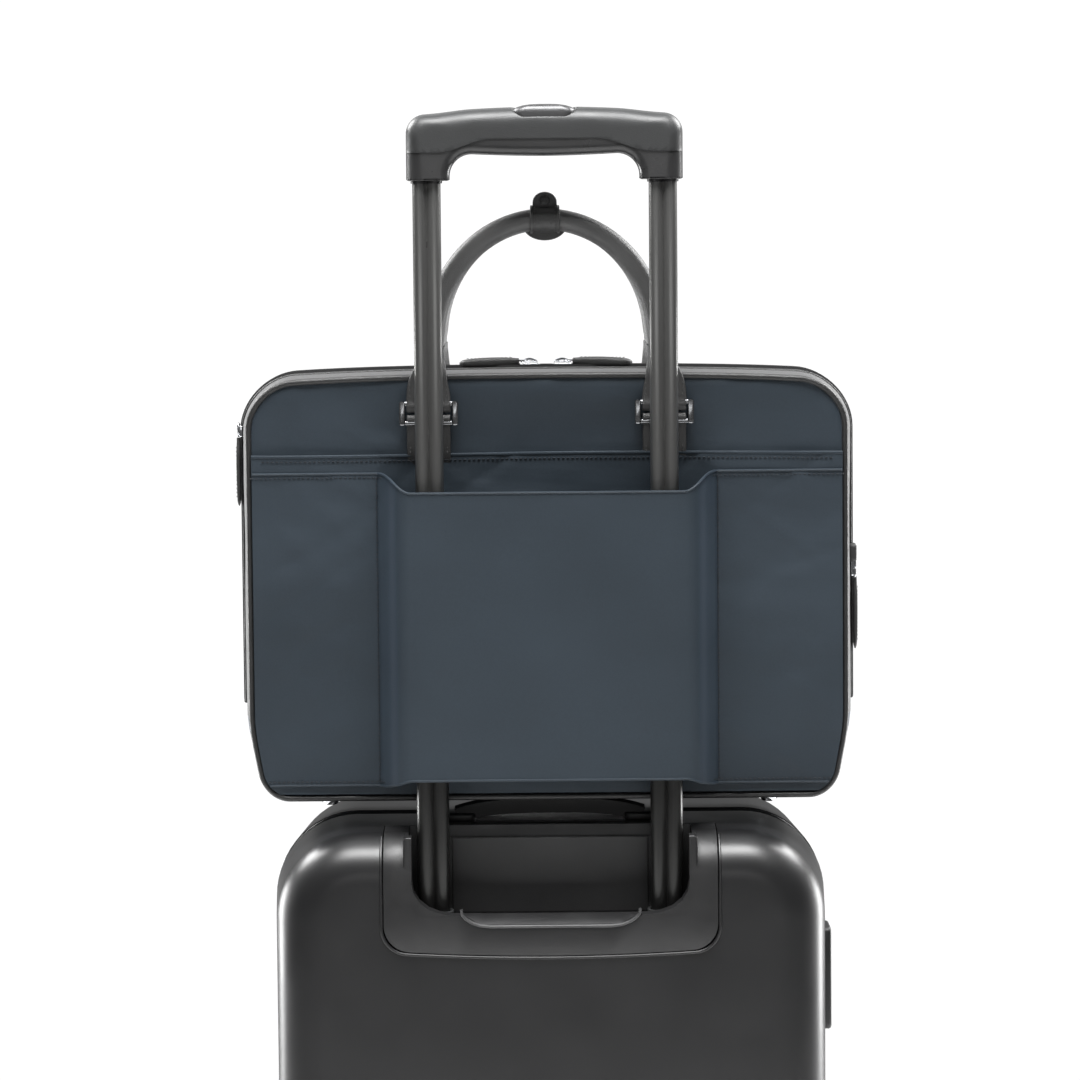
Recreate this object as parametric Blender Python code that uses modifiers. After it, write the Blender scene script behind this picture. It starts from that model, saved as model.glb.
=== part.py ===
"""Laptop case carried on the telescopic handle of a wheeled hard case.

Metres, +Z up. The origin is on the floor, at the middle of the footprint. +X is to the
right when the handle side faces the viewer, and +Y runs from the handle side to the
front of the case.
"""

from math import cos, pi, radians, sin

import bmesh
import bpy
from mathutils import Matrix, Vector

GAP = 0.0003  # between solids that touch
TINY = 0.0001  # merge distance

# Wheeled case
CASE_HALF_WIDTH = 0.187
CASE_TAPER = 0.0065  # how much narrower the outer faces are, each side
CASE_BACK = -0.115
CASE_FRONT = 0.116
CASE_BOTTOM = 0.048
CASE_TOP = 0.540
CASE_CORNER = 0.045
CASE_EDGE = 0.025
CASE_WALL = 0.003
ZIP_HALF = 0.009  # half of the band between the two shells

# Casters
CASTER_X = 0.142
CASTER_Y = 0.082
WHEEL_RADIUS = 0.0195
WHEEL_WIDTH = 0.015
TRAIL = 0.012
HOUSING_BOTTOM = 0.043

# Telescopic handle
TUBE_X = 0.0773
TUBE_Y = -0.091
OUTER_TUBE = (0.0245, 0.0175)
MIDDLE_TUBE = (0.0214, 0.0144)
INNER_TUBE = (0.0186, 0.0116)
TUBE_WALL = 0.0011
MIDDLE_TOP = 0.721
GRIP_BOTTOM = 0.966
GRIP_TOP = 1.014
GRIP_UNDERSIDE = 0.982
GRIP_HALF_WIDTH = 0.0905
GRIP_BACK = -0.101
GRIP_FRONT = -0.075

# Handle recess in the case
RECESS_HALF_WIDTH = 0.094
RECESS_FLOOR = 0.481
RECESS_DEEP = -0.067
BEZEL_HALF_WIDTH = 0.110
BEZEL_BOTTOM = 0.463
BEZEL_DEEP = -0.060

# Laptop case
BAG_HALF_WIDTH = 0.2045
BAG_BOTTOM = 0.5535
BAG_TOP = 0.8455
BAG_BACK = -0.069
BAG_FRONT = 0.038
BAG_SPLIT = -0.016  # the zip line
BAG_CORNER = 0.026
BAG_WALL = 0.004
POCKET_TOP = 0.7857
CLOTH = 0.0012
SLEEVE_OUT = 0.0320  # how far the sleeve stands off its stitched flanges
STITCH_X = 0.1125
SLEEVE_HALF_WIDTH = 0.0945
RING_Z = 0.813
TAB_X = 0.078

# Rolled handles
ROLL_RADIUS = 0.007
ARCH_HALF_WIDTH = 0.0745
ARCH_BASE = 0.860
ARCH_TOP = 0.9406
ROLL_FOOT = 0.8535
REAR_ROLL_Y = -0.0655
FRONT_ROLL_Y = 0.0475

SIDES = (("left", -1), ("right", 1))

COLOURS = {
    "shell": ((0.028, 0.028, 0.028), 0.28, 0.0),
    "housing": ((0.032, 0.032, 0.033), 0.45, 0.0),
    "grip": ((0.060, 0.062, 0.062), 0.42, 0.0),
    "tube": ((0.110, 0.110, 0.108), 0.35, 1.0),
    "tyre": ((0.030, 0.030, 0.030), 0.70, 0.0),
    "steel": ((0.55, 0.55, 0.56), 0.25, 1.0),
    "nylon": ((0.046, 0.062, 0.082), 0.60, 0.0),
    "leather": ((0.040, 0.040, 0.040), 0.50, 0.0),
    "trim_metal": ((0.30, 0.31, 0.33), 0.25, 1.0),
    "zip": ((0.025, 0.025, 0.026), 0.75, 0.0),
}


def clear_scene():
    for obj in list(bpy.context.scene.objects):
        bpy.data.objects.remove(obj, do_unlink=True)


def make_collection(name, hidden=False):
    collection = bpy.data.collections.new(name)
    collection.hide_render = hidden
    bpy.context.scene.collection.children.link(collection)
    return collection


def make_materials():
    made = {}
    for name, (colour, roughness, metallic) in COLOURS.items():
        material = bpy.data.materials.new(name)
        material.use_nodes = True
        shader = material.node_tree.nodes["Principled BSDF"]
        shader.inputs["Base Color"].default_value = (*colour, 1.0)
        shader.inputs["Roughness"].default_value = roughness
        shader.inputs["Metallic"].default_value = metallic
        made[name] = material
    return made


clear_scene()
PARTS = make_collection("laptop_case_on_wheeled_case")
CUTTERS = make_collection("cutters", hidden=True)
MATERIALS = make_materials()


# --- small tools -------------------------------------------------------------------


def node(name, mesh_data, material, origin=(0, 0, 0)):
    """A sub-part from mesh data in world coordinates, with its origin where asked."""
    mesh_data.transform(Matrix.Translation(-Vector(origin)))
    obj = bpy.data.objects.new(name, mesh_data)
    obj.location = origin
    PARTS.objects.link(obj)
    mesh_data.materials.append(MATERIALS[material].copy())
    mesh_data.set_sharp_from_angle(angle=radians(35))
    return obj


def cutter(mesh_data):
    obj = bpy.data.objects.new("cutter", mesh_data)
    obj.hide_render = True
    obj.display_type = "WIRE"
    CUTTERS.objects.link(obj)
    return obj


def combine(obj, mesh_data, operation="DIFFERENCE"):
    """Cuts a mesh from a node, or joins it on. The mesh is in world coordinates."""
    modifier = obj.modifiers.new(operation.lower(), "BOOLEAN")
    modifier.operation = operation
    modifier.solver = "EXACT"
    modifier.object = cutter(mesh_data)
    return modifier


def finish_mesh(bm, name):
    bmesh.ops.remove_doubles(bm, verts=bm.verts, dist=TINY / 10)
    bmesh.ops.recalc_face_normals(bm, faces=bm.faces)
    mesh_data = bpy.data.meshes.new(name)
    bm.to_mesh(mesh_data)
    bm.free()
    return mesh_data


def cube_between(low, high):
    bm = bmesh.new()
    bmesh.ops.create_cube(bm, size=1.0)
    low, high = Vector(low), Vector(high)
    size = high - low
    middle = (low + high) / 2
    for vert in bm.verts:
        vert.co = Vector(c * s for c, s in zip(vert.co, size)) + middle
    return bm


def bevel_edges(bm, edges, radius, segments):
    bmesh.ops.bevel(bm, geom=edges, offset=radius, segments=segments, profile=0.5, affect="EDGES")


def edges_along(bm, axis):
    return [e for e in bm.edges if abs((e.verts[0].co - e.verts[1].co).normalized()[axis]) > 0.99]


def edges_in_plane(bm, axis, value):
    return [e for e in bm.edges if all(abs(v.co[axis] - value) < TINY / 10 for v in e.verts)]


def faces_in_plane(bm, axis, value):
    return [f for f in bm.faces if all(abs(v.co[axis] - value) < TINY / 10 for v in f.verts)]


def delete_faces(bm, faces):
    bmesh.ops.delete(bm, geom=faces, context="FACES")


def block(low, high, axis=2, corner=0.0, corner_steps=3, edge=0.0, edge_steps=2):
    """A box whose four edges along one axis are rounded, then both of its ends."""
    bm = cube_between(low, high)
    if corner:
        bevel_edges(bm, edges_along(bm, axis), corner, corner_steps)
    if edge:
        ends = edges_in_plane(bm, axis, low[axis]) + edges_in_plane(bm, axis, high[axis])
        bevel_edges(bm, ends, edge, edge_steps)
    return finish_mesh(bm, "block")


def thicken(obj, thickness, offset=-1.0):
    modifier = obj.modifiers.new("wall", "SOLIDIFY")
    modifier.thickness = thickness
    modifier.offset = offset
    modifier.use_even_offset = True
    return modifier


def rod(radius, start, end, sides=16):
    """A round bar between two points."""
    start, end = Vector(start), Vector(end)
    bm = bmesh.new()
    bmesh.ops.create_cone(
        bm, cap_ends=True, segments=sides, radius1=radius, radius2=radius,
        depth=(end - start).length,
    )
    turn = Vector((0, 0, 1)).rotation_difference(end - start).to_matrix().to_4x4()
    bm.transform(Matrix.Translation((start + end) / 2) @ turn)
    return finish_mesh(bm, "rod")


def turned(name, profile, centre, axis, material, steps=24):
    """A lathe part: (radius, distance along the axis) pairs, turned about the axis."""
    bm = bmesh.new()
    verts = [bm.verts.new((r, 0.0, d)) for r, d in profile]
    for first, second in zip(verts, verts[1:]):
        bm.edges.new((first, second))
    if profile[0][0] > 0:
        bm.edges.new((verts[-1], verts[0]))
    mesh_data = bpy.data.meshes.new(name)
    bm.to_mesh(mesh_data)
    bm.free()
    obj = bpy.data.objects.new(name, mesh_data)
    obj.location = centre
    obj.rotation_mode = "QUATERNION"
    obj.rotation_quaternion = Vector((0, 0, 1)).rotation_difference(Vector(axis))
    PARTS.objects.link(obj)
    mesh_data.materials.append(MATERIALS[material].copy())
    spin = obj.modifiers.new("turn", "SCREW")
    spin.axis = "Z"
    spin.steps = steps
    spin.render_steps = steps
    spin.use_merge_vertices = True
    spin.merge_threshold = TINY / 10
    spin.use_smooth_shade = True
    return obj


def swept(name, points, radius, material, origin, resolution=2):
    """A round bar along a list of points."""
    curve = bpy.data.curves.new(name, "CURVE")
    curve.dimensions = "3D"
    curve.bevel_depth = radius
    curve.bevel_resolution = resolution
    curve.use_fill_caps = True
    spline = curve.splines.new("POLY")
    spline.points.add(len(points) - 1)
    for point, place in zip(spline.points, points):
        point.co = (*(Vector(place) - Vector(origin)), 1.0)
    obj = bpy.data.objects.new(name, curve)
    obj.location = origin
    PARTS.objects.link(obj)
    curve.materials.append(MATERIALS[material].copy())
    return obj


def folded_sheet(name, plan, thickness, material):
    """A sheet that stands upright along a plan line: (x, y, bottom, top) at each fold."""
    bm = bmesh.new()
    lower = [bm.verts.new((x, y, bottom)) for x, y, bottom, top in plan]
    upper = [bm.verts.new((x, y, top)) for x, y, bottom, top in plan]
    for i in range(len(plan) - 1):
        bm.faces.new((lower[i], lower[i + 1], upper[i + 1], upper[i]))
    mesh_data = bpy.data.meshes.new(name)
    bm.to_mesh(mesh_data)
    bm.free()
    obj = node(name, mesh_data, material)
    thicken(obj, thickness, offset=0.0)
    return obj


# --- wheeled case ------------------------------------------------------------------


def taper_towards(bm, outer):
    """Draws the shell in a little from the zip towards its outer face."""
    middle_z = (CASE_TOP + CASE_BOTTOM) / 2
    for vert in bm.verts:
        share = max(0.0, (abs(vert.co.y) - ZIP_HALF) / (abs(outer) - ZIP_HALF))
        vert.co.x *= 1 - share * CASE_TAPER / CASE_HALF_WIDTH
        vert.co.z = middle_z + (vert.co.z - middle_z) * (1 - share * 0.004)


def shell_form(split, outer, grow=0.0, keep_open=True):
    """The outside of one half of the case, open at the zip unless told otherwise."""
    side = 1 if outer > split else -1
    face = outer + side * grow
    low_y, high_y = sorted((split, face))
    bm = cube_between(
        (-CASE_HALF_WIDTH - grow, low_y, CASE_BOTTOM - grow),
        (CASE_HALF_WIDTH + grow, high_y, CASE_TOP + grow),
    )
    bevel_edges(bm, edges_along(bm, 1), CASE_CORNER + grow, 7)
    bevel_edges(bm, edges_in_plane(bm, 1, face), CASE_EDGE + grow, 5)
    if keep_open:
        delete_faces(bm, faces_in_plane(bm, 1, split))
    taper_towards(bm, outer)
    return finish_mesh(bm, "shell_form")


def case_shell(name, split, outer, origin=(0, 0, 0)):
    obj = node(name, shell_form(split, outer), "shell", origin)
    thicken(obj, CASE_WALL)
    return obj


def rim_band(name, low_y, high_y, inset, wall, material):
    """A band that follows the rim of the case."""
    bm = cube_between(
        (-CASE_HALF_WIDTH + inset, low_y, CASE_BOTTOM + inset),
        (CASE_HALF_WIDTH - inset, high_y, CASE_TOP - inset),
    )
    bevel_edges(bm, edges_along(bm, 1), CASE_CORNER - inset, 7)
    delete_faces(bm, faces_in_plane(bm, 1, low_y) + faces_in_plane(bm, 1, high_y))
    obj = node(name, finish_mesh(bm, name), material)
    thicken(obj, wall)
    return obj


def u_outline(half_width, bottom, low_y, high_y, radius):
    """A tall block with its two lower corners rounded, standing past the case's top."""
    bm = cube_between((-half_width, low_y, bottom), (half_width, high_y, CASE_TOP + 0.04))
    lower = [e for e in edges_along(bm, 1) if e.verts[0].co.z < CASE_TOP]
    bevel_edges(bm, lower, radius, 5)
    return finish_mesh(bm, "u_outline")


def build_handle_housing(rear_shell):
    """The bezel let into the top of the rear shell, with the recess for the grip."""
    flange = shell_form(-ZIP_HALF, CASE_BACK, grow=0.001, keep_open=False)
    housing = node("handle_housing", flange, "housing")
    combine(housing, shell_form(-ZIP_HALF, CASE_BACK, grow=-0.0035, keep_open=False))
    combine(
        housing,
        u_outline(BEZEL_HALF_WIDTH, BEZEL_BOTTOM, -0.150, BEZEL_DEEP, 0.018),
        "INTERSECT",
    )
    wall = 0.003
    pocket_low = (-RECESS_HALF_WIDTH - wall, CASE_BACK + 0.002, RECESS_FLOOR - wall)
    pocket_high = (RECESS_HALF_WIDTH + wall, RECESS_DEEP + wall, CASE_TOP - 0.002)
    combine(housing, block(pocket_low, pocket_high), "UNION")
    combine(
        housing,
        u_outline(RECESS_HALF_WIDTH, RECESS_FLOOR, -0.150, RECESS_DEEP, 0.012),
    )
    for _, side in SIDES:
        combine(housing, tube_hole(side, MIDDLE_TUBE, GAP, 0.45, 0.50))
    combine(
        rear_shell,
        u_outline(BEZEL_HALF_WIDTH + GAP, BEZEL_BOTTOM - GAP, -0.150, BEZEL_DEEP + GAP, 0.018),
    )
    return housing


def tube_hole(side, size, gap, low_z, high_z):
    half_w, half_d = size[0] / 2 + gap, size[1] / 2 + gap
    x = side * TUBE_X
    return block(
        (x - half_w, TUBE_Y - half_d, low_z),
        (x + half_w, TUBE_Y + half_d, high_z),
        corner=min(half_w, half_d) * 0.8,
        corner_steps=3,
    )


def tube(name, side, size, low_z, high_z):
    """One open tube of the telescopic handle."""
    half_w, half_d = size[0] / 2, size[1] / 2
    x = side * TUBE_X
    bm = cube_between((x - half_w, TUBE_Y - half_d, low_z), (x + half_w, TUBE_Y + half_d, high_z))
    bevel_edges(bm, edges_along(bm, 2), half_d * 0.8, 3)
    delete_faces(bm, faces_in_plane(bm, 2, low_z) + faces_in_plane(bm, 2, high_z))
    obj = node(name, finish_mesh(bm, name), "tube", (x, TUBE_Y, low_z))
    thicken(obj, TUBE_WALL)
    return obj


def build_tubes():
    for name, side in SIDES:
        tube(f"outer_tube_{name}", side, OUTER_TUBE, 0.064, RECESS_FLOOR - 0.003 - GAP)
        tube(f"middle_tube_{name}", side, MIDDLE_TUBE, 0.421, MIDDLE_TOP)
        tube(f"inner_tube_{name}", side, INNER_TUBE, 0.665, GRIP_BOTTOM + 0.007)


def build_foot_bracket():
    """The bar inside the case that the lower ends of the outer tubes stand in."""
    low = (-0.096, TUBE_Y - 0.0140, CASE_BOTTOM)
    high = (0.096, TUBE_Y + 0.014, 0.080)
    bracket = node("tube_foot_bracket", block(low, high, corner=0.004), "housing")
    inside = shell_form(-ZIP_HALF, CASE_BACK, grow=-CASE_WALL - 0.001, keep_open=False)
    combine(bracket, inside, "INTERSECT")
    for _, side in SIDES:
        combine(bracket, tube_hole(side, OUTER_TUBE, GAP, 0.0635, 0.09))


def build_grip():
    """The grip: a bar with two short legs, split into an upper and a lower half."""
    part_line = 0.992
    outer_low = (-GRIP_HALF_WIDTH, GRIP_BACK, GRIP_BOTTOM)
    outer_high = (GRIP_HALF_WIDTH, GRIP_FRONT, GRIP_TOP)
    lower = node("grip_lower", grip_form(outer_low, outer_high), "grip")
    upper = node("grip_upper", grip_form(outer_low, outer_high), "grip")
    reach = 0.2
    above = block((-reach, -reach, part_line - GAP / 2), (reach, reach, 1.1))
    below = block((-reach, -reach, 0.9), (reach, reach, part_line + GAP / 2))
    combine(lower, above)
    combine(upper, below)
    leg = 0.022
    notch = block(
        (-GRIP_HALF_WIDTH + leg, -0.13, 0.94),
        (GRIP_HALF_WIDTH - leg, -0.05, GRIP_UNDERSIDE),
        axis=1,
        corner=0.010,
        corner_steps=4,
    )
    combine(lower, notch)
    for _, side in SIDES:
        combine(lower, tube_hole(side, INNER_TUBE, GAP, 0.95, GRIP_BOTTOM + 0.0075))
    combine(upper, oval_block(0.0212, 0.0087, 1.0045, 1.03))


def grip_form(low, high):
    bm = cube_between(low, high)
    bevel_edges(bm, edges_along(bm, 2), 0.008, 3)
    bevel_edges(bm, edges_in_plane(bm, 2, high[2]), 0.006, 3)
    return finish_mesh(bm, "grip_form")


def oval_block(half_x, half_y, low_z, high_z):
    """An upright block with round ends, at the middle of the grip."""
    y = (GRIP_BACK + GRIP_FRONT) / 2
    return block(
        (-half_x, y - half_y, low_z),
        (half_x, y + half_y, high_z),
        corner=half_y * 0.98,
        corner_steps=5,
    )


def build_push_button():
    mesh_data = oval_block(0.0208, 0.0083, 1.0075, GRIP_TOP + 0.002)
    node("push_button", mesh_data, "grip", (0, (GRIP_BACK + GRIP_FRONT) / 2, GRIP_TOP))


def build_top_carry_handle():
    """A low bar over the top of the case, close to the housing."""
    y, z = -0.034, CASE_TOP
    half = 0.062
    points = [(-half, y, z + 0.0031)]
    steps = 10
    for i in range(1, steps):
        x = -half + 2 * half * i / steps
        points.append((x, y, z + 0.0031 + 0.0065 * sin(pi * i / steps) ** 0.5))
    points.append((half, y, z + 0.0031))
    swept("top_carry_handle", points, 0.0028, "housing", (0, y, z))


def build_side_carry_handle(rear_shell):
    """A bar that springs out of the right side, with its two legs through the shell."""
    y, low_z, high_z = -0.045, 0.200, 0.350
    outside = 0.2015
    inside = 0.158
    leg = 0.014
    bar = block((0.1975, y - 0.009, low_z), (outside, y + 0.009, high_z), axis=1,
                corner=0.0015, corner_steps=2)
    handle = node("side_carry_handle", bar, "housing", (outside, y, (low_z + high_z) / 2))
    for low in (low_z, high_z - leg):
        leg_low = (inside, y - 0.007, low + 0.002)
        leg_high = (0.199, y + 0.007, low + leg - 0.002)
        combine(handle, block(leg_low, leg_high), "UNION")
        stop_low = (inside - 0.002, y - 0.010, low - 0.001)
        stop_high = (inside, y + 0.010, low + leg + 0.001)
        combine(handle, block(stop_low, stop_high), "UNION")
        hole_low = (0.165, y - 0.0075, low + 0.0015)
        hole_high = (0.195, y + 0.0075, low + leg - 0.0015)
        combine(rear_shell, block(hole_low, hole_high))


def build_lock_housing():
    low = (0.1700, -0.046, 0.392)
    high = (0.1895, -0.014, 0.462)
    lock = node("lock_housing", block(low, high, axis=0, corner=0.006, edge=0.0015), "housing")
    combine(lock, shell_form(-ZIP_HALF, CASE_BACK, grow=GAP, keep_open=False))


# --- casters -----------------------------------------------------------------------


def build_caster_housing(name, x, y):
    """A moulded corner that fills out the round edge of the case over a caster."""
    side_x = 1 if x > 0 else -1
    side_y = 1 if y > 0 else -1
    outer_y = (CASE_FRONT if y > 0 else -CASE_BACK) - 0.004
    x_span = sorted((side_x * 0.108, side_x * (CASE_HALF_WIDTH - 0.007)))
    y_span = sorted((side_y * 0.048, side_y * outer_y))
    form = block(
        (x_span[0], y_span[0], HOUSING_BOTTOM),
        (x_span[1], y_span[1], 0.082),
        corner=0.014,
        corner_steps=3,
    )
    housing = node(f"caster_housing_{name}", form, "housing")
    outer = CASE_FRONT if y > 0 else CASE_BACK
    combine(housing, shell_form(side_y * ZIP_HALF, outer, grow=GAP, keep_open=False))
    combine(housing, rod(0.0045, (x, y, 0.03), (x, y, 0.0476), 12))


def build_caster_fork(name, x, y):
    """A fork with its stem up the swivel axis and its legs either side of the wheel."""
    crown_top = HOUSING_BOTTOM - GAP
    crown_low = 0.0402
    inner = WHEEL_WIDTH / 2 + 0.0006
    outer = inner + 0.0032
    form = block(
        (x - outer, y - TRAIL - 0.008, 0.0115),
        (x + outer, y + 0.012, crown_top),
        axis=2,
        corner=0.003,
        corner_steps=2,
    )
    fork = node(f"caster_fork_{name}", form, "housing", (x, y, crown_top))
    combine(fork, block((x - inner, y - 0.06, 0.0), (x + inner, y + 0.06, crown_low)))
    combine(fork, block((x - 0.02, y - TRAIL + 0.0085, 0.0), (x + 0.02, y + 0.06, 0.0295)))
    combine(fork, rod(0.0040, (x, y, crown_top - 0.001), (x, y, 0.0470), 12), "UNION")
    axle_y, axle_z = y - TRAIL, WHEEL_RADIUS
    combine(fork, rod(0.0029, (x - 0.02, axle_y, axle_z), (x + 0.02, axle_y, axle_z), 12))


def build_wheel(name, x, y):
    centre = (x, y - TRAIL, WHEEL_RADIUS)
    half = WHEEL_WIDTH / 2
    bore = 0.0029
    profile = [
        (bore, half),
        (0.0075, half),
        (0.0090, half - 0.0015),
        (0.0135, half - 0.0015),
        (0.0150, half),
        (WHEEL_RADIUS - 0.0020, half),
        (WHEEL_RADIUS, half - 0.0025),
    ]
    profile += [(r, -d) for r, d in reversed(profile)]
    turned(f"wheel_{name}", profile, centre, (1, 0, 0), "tyre")
    reach = half + 0.0046
    axle = rod(0.0026, (x - reach, centre[1], centre[2]), (x + reach, centre[1], centre[2]), 12)
    node(f"wheel_axle_{name}", axle, "steel", centre)


def build_casters():
    for row, side_y in (("rear", -1), ("front", 1)):
        for name, side_x in SIDES:
            label = f"{row}_{name}"
            x, y = side_x * CASTER_X, side_y * CASTER_Y
            build_caster_housing(label, x, y)
            build_caster_fork(label, x, y)
            build_wheel(label, x, y)


# --- laptop case -------------------------------------------------------------------


def bag_form(low_y, high_y, face_y, open_y):
    """Half of the laptop case's outside: round corners, a softened outer face."""
    bm = cube_between(
        (-BAG_HALF_WIDTH, low_y, BAG_BOTTOM),
        (BAG_HALF_WIDTH, high_y, BAG_TOP),
    )
    bevel_edges(bm, edges_along(bm, 1), BAG_CORNER, 6)
    bevel_edges(bm, edges_in_plane(bm, 1, face_y), 0.004, 2)
    delete_faces(bm, faces_in_plane(bm, 1, open_y))
    return bm


def build_bag_body():
    """The back half, with the floor that runs on under the front half."""
    bm = bag_form(BAG_BACK, BAG_SPLIT - GAP, BAG_BACK, BAG_SPLIT - GAP)
    body = node("bag_body", finish_mesh(bm, "bag_body"), "nylon")
    thicken(body, BAG_WALL)
    floor = block(
        (-BAG_HALF_WIDTH + 0.030, BAG_SPLIT - 0.020, BAG_BOTTOM),
        (BAG_HALF_WIDTH - 0.030, BAG_FRONT - 0.002, BAG_BOTTOM + BAG_WALL),
    )
    combine(body, floor, "UNION")


def build_bag_front_panel():
    """The front half: front, top and sides, which tilt forward about its lower edge."""
    bm = bag_form(BAG_SPLIT, BAG_FRONT, BAG_FRONT, BAG_SPLIT)
    cut_z = BAG_BOTTOM + BAG_WALL + 0.0008
    geometry = list(bm.verts) + list(bm.edges) + list(bm.faces)
    bmesh.ops.bisect_plane(
        bm, geom=geometry, plane_co=(0, 0, cut_z), plane_no=(0, 0, 1), clear_inner=True
    )
    hinge = (0, BAG_FRONT, cut_z)
    panel = node("bag_front_panel", finish_mesh(bm, "bag_front_panel"), "nylon", hinge)
    thicken(panel, BAG_WALL - 0.001)


def build_pocket_and_sleeve():
    """The flat pocket on the back, and the sleeve sewn over it for the handle tubes."""
    pocket_back = BAG_BACK - GAP - CLOTH
    node(
        "back_pocket",
        block((-0.198, pocket_back, 0.566), (0.198, BAG_BACK - GAP, POCKET_TOP),
              axis=1, corner=0.012),
        "nylon",
    )
    flange_y = pocket_back - GAP - CLOTH / 2
    out_y = flange_y - SLEEVE_OUT
    low_side, high_side = 0.566, 0.7738
    low_mid, high_mid = 0.5712, 0.7625
    half = [
        (0.1960, flange_y, low_side, high_side),
        (STITCH_X, flange_y, low_side, high_side),
        (STITCH_X - 0.0060, flange_y - 0.0040, low_side, high_side - 0.002),
        (SLEEVE_HALF_WIDTH + 0.0030, out_y + 0.0040, low_mid, high_mid + 0.002),
        (SLEEVE_HALF_WIDTH - 0.0050, out_y, low_mid, high_mid),
    ]
    plan = [(-x, y, low, high) for x, y, low, high in half] + half[::-1]
    folded_sheet("trolley_sleeve", plan, CLOTH, "nylon")


def build_tabs_and_rings():
    """The leather tabs that hold the rolled handles, each through a metal ring."""
    for row, face, out in (("rear", BAG_BACK, -1), ("front", BAG_FRONT, 1)):
        low_z = POCKET_TOP + 0.0008 if row == "rear" else 0.775
        for name, side in SIDES:
            x = side * TAB_X
            tab_y = sorted((face + out * GAP, face + out * (GAP + 0.0018)))
            tab = block((x - 0.012, tab_y[0], low_z), (x + 0.012, tab_y[1], 0.8395),
                        axis=1, corner=0.002, corner_steps=1)
            node(f"{row}_tab_{name}", tab, "leather")
            ring_y = sorted((face + out * 0.0024, face + out * 0.0050))
            ring = block((x - 0.0195, ring_y[0], RING_Z - 0.00825),
                         (x + 0.0195, ring_y[1], RING_Z + 0.00825),
                         axis=1, corner=0.002, corner_steps=1)
            ring_node = node(f"{row}_ring_{name}", ring, "trim_metal")
            opening = block((x - 0.0125, ring_y[0] - 0.01, RING_Z - 0.005),
                            (x + 0.0125, ring_y[1] + 0.01, RING_Z + 0.005))
            combine(ring_node, opening)


def arch_points(y):
    """The line of a rolled handle: two short upright legs and half an ellipse."""
    rise = ARCH_TOP - ARCH_BASE
    steps = 16
    arch = []
    for i in range(steps + 1):
        angle = pi - pi * i / steps
        arch.append((ARCH_HALF_WIDTH * cos(angle), y, ARCH_BASE + rise * sin(angle)))
    return [(-ARCH_HALF_WIDTH, y, ROLL_FOOT)] + arch + [(ARCH_HALF_WIDTH, y, ROLL_FOOT)]


def build_rolled_handles():
    for name, y in (("rear_handle", REAR_ROLL_Y), ("front_handle", FRONT_ROLL_Y)):
        swept(name, arch_points(y), ROLL_RADIUS, "leather", (0, y, ROLL_FOOT))
    half, bore, outer = 0.009, ROLL_RADIUS + 0.0010, ROLL_RADIUS + 0.0019
    profile = [(outer, half), (outer, -half), (bore, -half), (bore, half)]
    turned("handle_keeper", profile, (0, REAR_ROLL_Y, ARCH_TOP - 0.0003), (1, 0, 0),
           "leather", steps=16)


def build_zip_sliders():
    """The two sliders on top, each with a leather pull that lies outwards."""
    z = BAG_TOP + GAP
    for name, side, inner in (("left", -1, 0.0045), ("right", 1, 0.0045)):
        x_span = sorted((side * inner, side * (inner + 0.0135)))
        slider = block((x_span[0], BAG_SPLIT - 0.0045, z), (x_span[1], BAG_SPLIT + 0.0045, z + 0.0035),
                       corner=0.002, corner_steps=2)
        node(f"zip_slider_{name}", slider, "trim_metal", (side * inner, BAG_SPLIT, z))
        start = inner + 0.0135 + GAP
        pull_span = sorted((side * start, side * (start + 0.0400)))
        pull = block((pull_span[0], BAG_SPLIT - 0.0048, z + 0.0003),
                     (pull_span[1], BAG_SPLIT + 0.0048, z + 0.0032), corner=0.003, corner_steps=2)
        node(f"zip_pull_{name}", pull, "leather", (side * start, BAG_SPLIT, z + 0.0032))


def build_side_trim():
    """A small leather loop on each side of the laptop case, with a pull hanging from it."""
    y = -0.032
    for name, side, top, tab_low, pull_low in (
        ("left", -1, 0.8050, 0.7960, 0.7500),
        ("right", 1, 0.7210, 0.6990, 0.6500),
    ):
        face = BAG_HALF_WIDTH + GAP
        tab_x = sorted((side * face, side * (face + 0.0036)))
        tab = block((tab_x[0], y - 0.006, tab_low), (tab_x[1], y + 0.006, top), axis=0,
                    corner=0.002, corner_steps=2)
        node(f"side_tab_{name}", tab, "trim_metal")
        pull_x = sorted((side * (face + 0.0006), side * (face + 0.0036)))
        pull = block((pull_x[0], y - 0.0055, pull_low), (pull_x[1], y + 0.0055, tab_low - GAP),
                     axis=0, corner=0.003, corner_steps=2)
        node(f"side_pull_{name}", pull, "leather", (side * (face + 0.0036), y, tab_low - GAP))


def build_bag_feet():
    number = 1
    for y in (-0.055, 0.022):
        for _, side in SIDES:
            place = (side * 0.147, y, 0.5502)
            profile = [(0.0, 0.0030), (0.0055, 0.0030), (0.0050, 0.0006), (0.0042, 0.0), (0.0, 0.0)]
            turned(f"bag_foot_{number}", profile, place, (0, 0, 1), "trim_metal", steps=16)
            number += 1


# --- assembly ----------------------------------------------------------------------


def main():
    rear_shell = case_shell("rear_shell", -ZIP_HALF, CASE_BACK)
    case_shell("front_shell", ZIP_HALF, CASE_FRONT, (-CASE_HALF_WIDTH, 0, 0))
    rim_band("zip_tape", -ZIP_HALF + GAP, ZIP_HALF - GAP, 0.0012, 0.0022, "zip")
    build_handle_housing(rear_shell)
    build_tubes()
    build_foot_bracket()
    build_grip()
    build_push_button()
    build_top_carry_handle()
    build_side_carry_handle(rear_shell)
    build_lock_housing()
    build_casters()
    build_bag_body()
    build_bag_front_panel()
    build_pocket_and_sleeve()
    build_tabs_and_rings()
    build_rolled_handles()
    build_zip_sliders()
    build_side_trim()
    build_bag_feet()


main()
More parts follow.
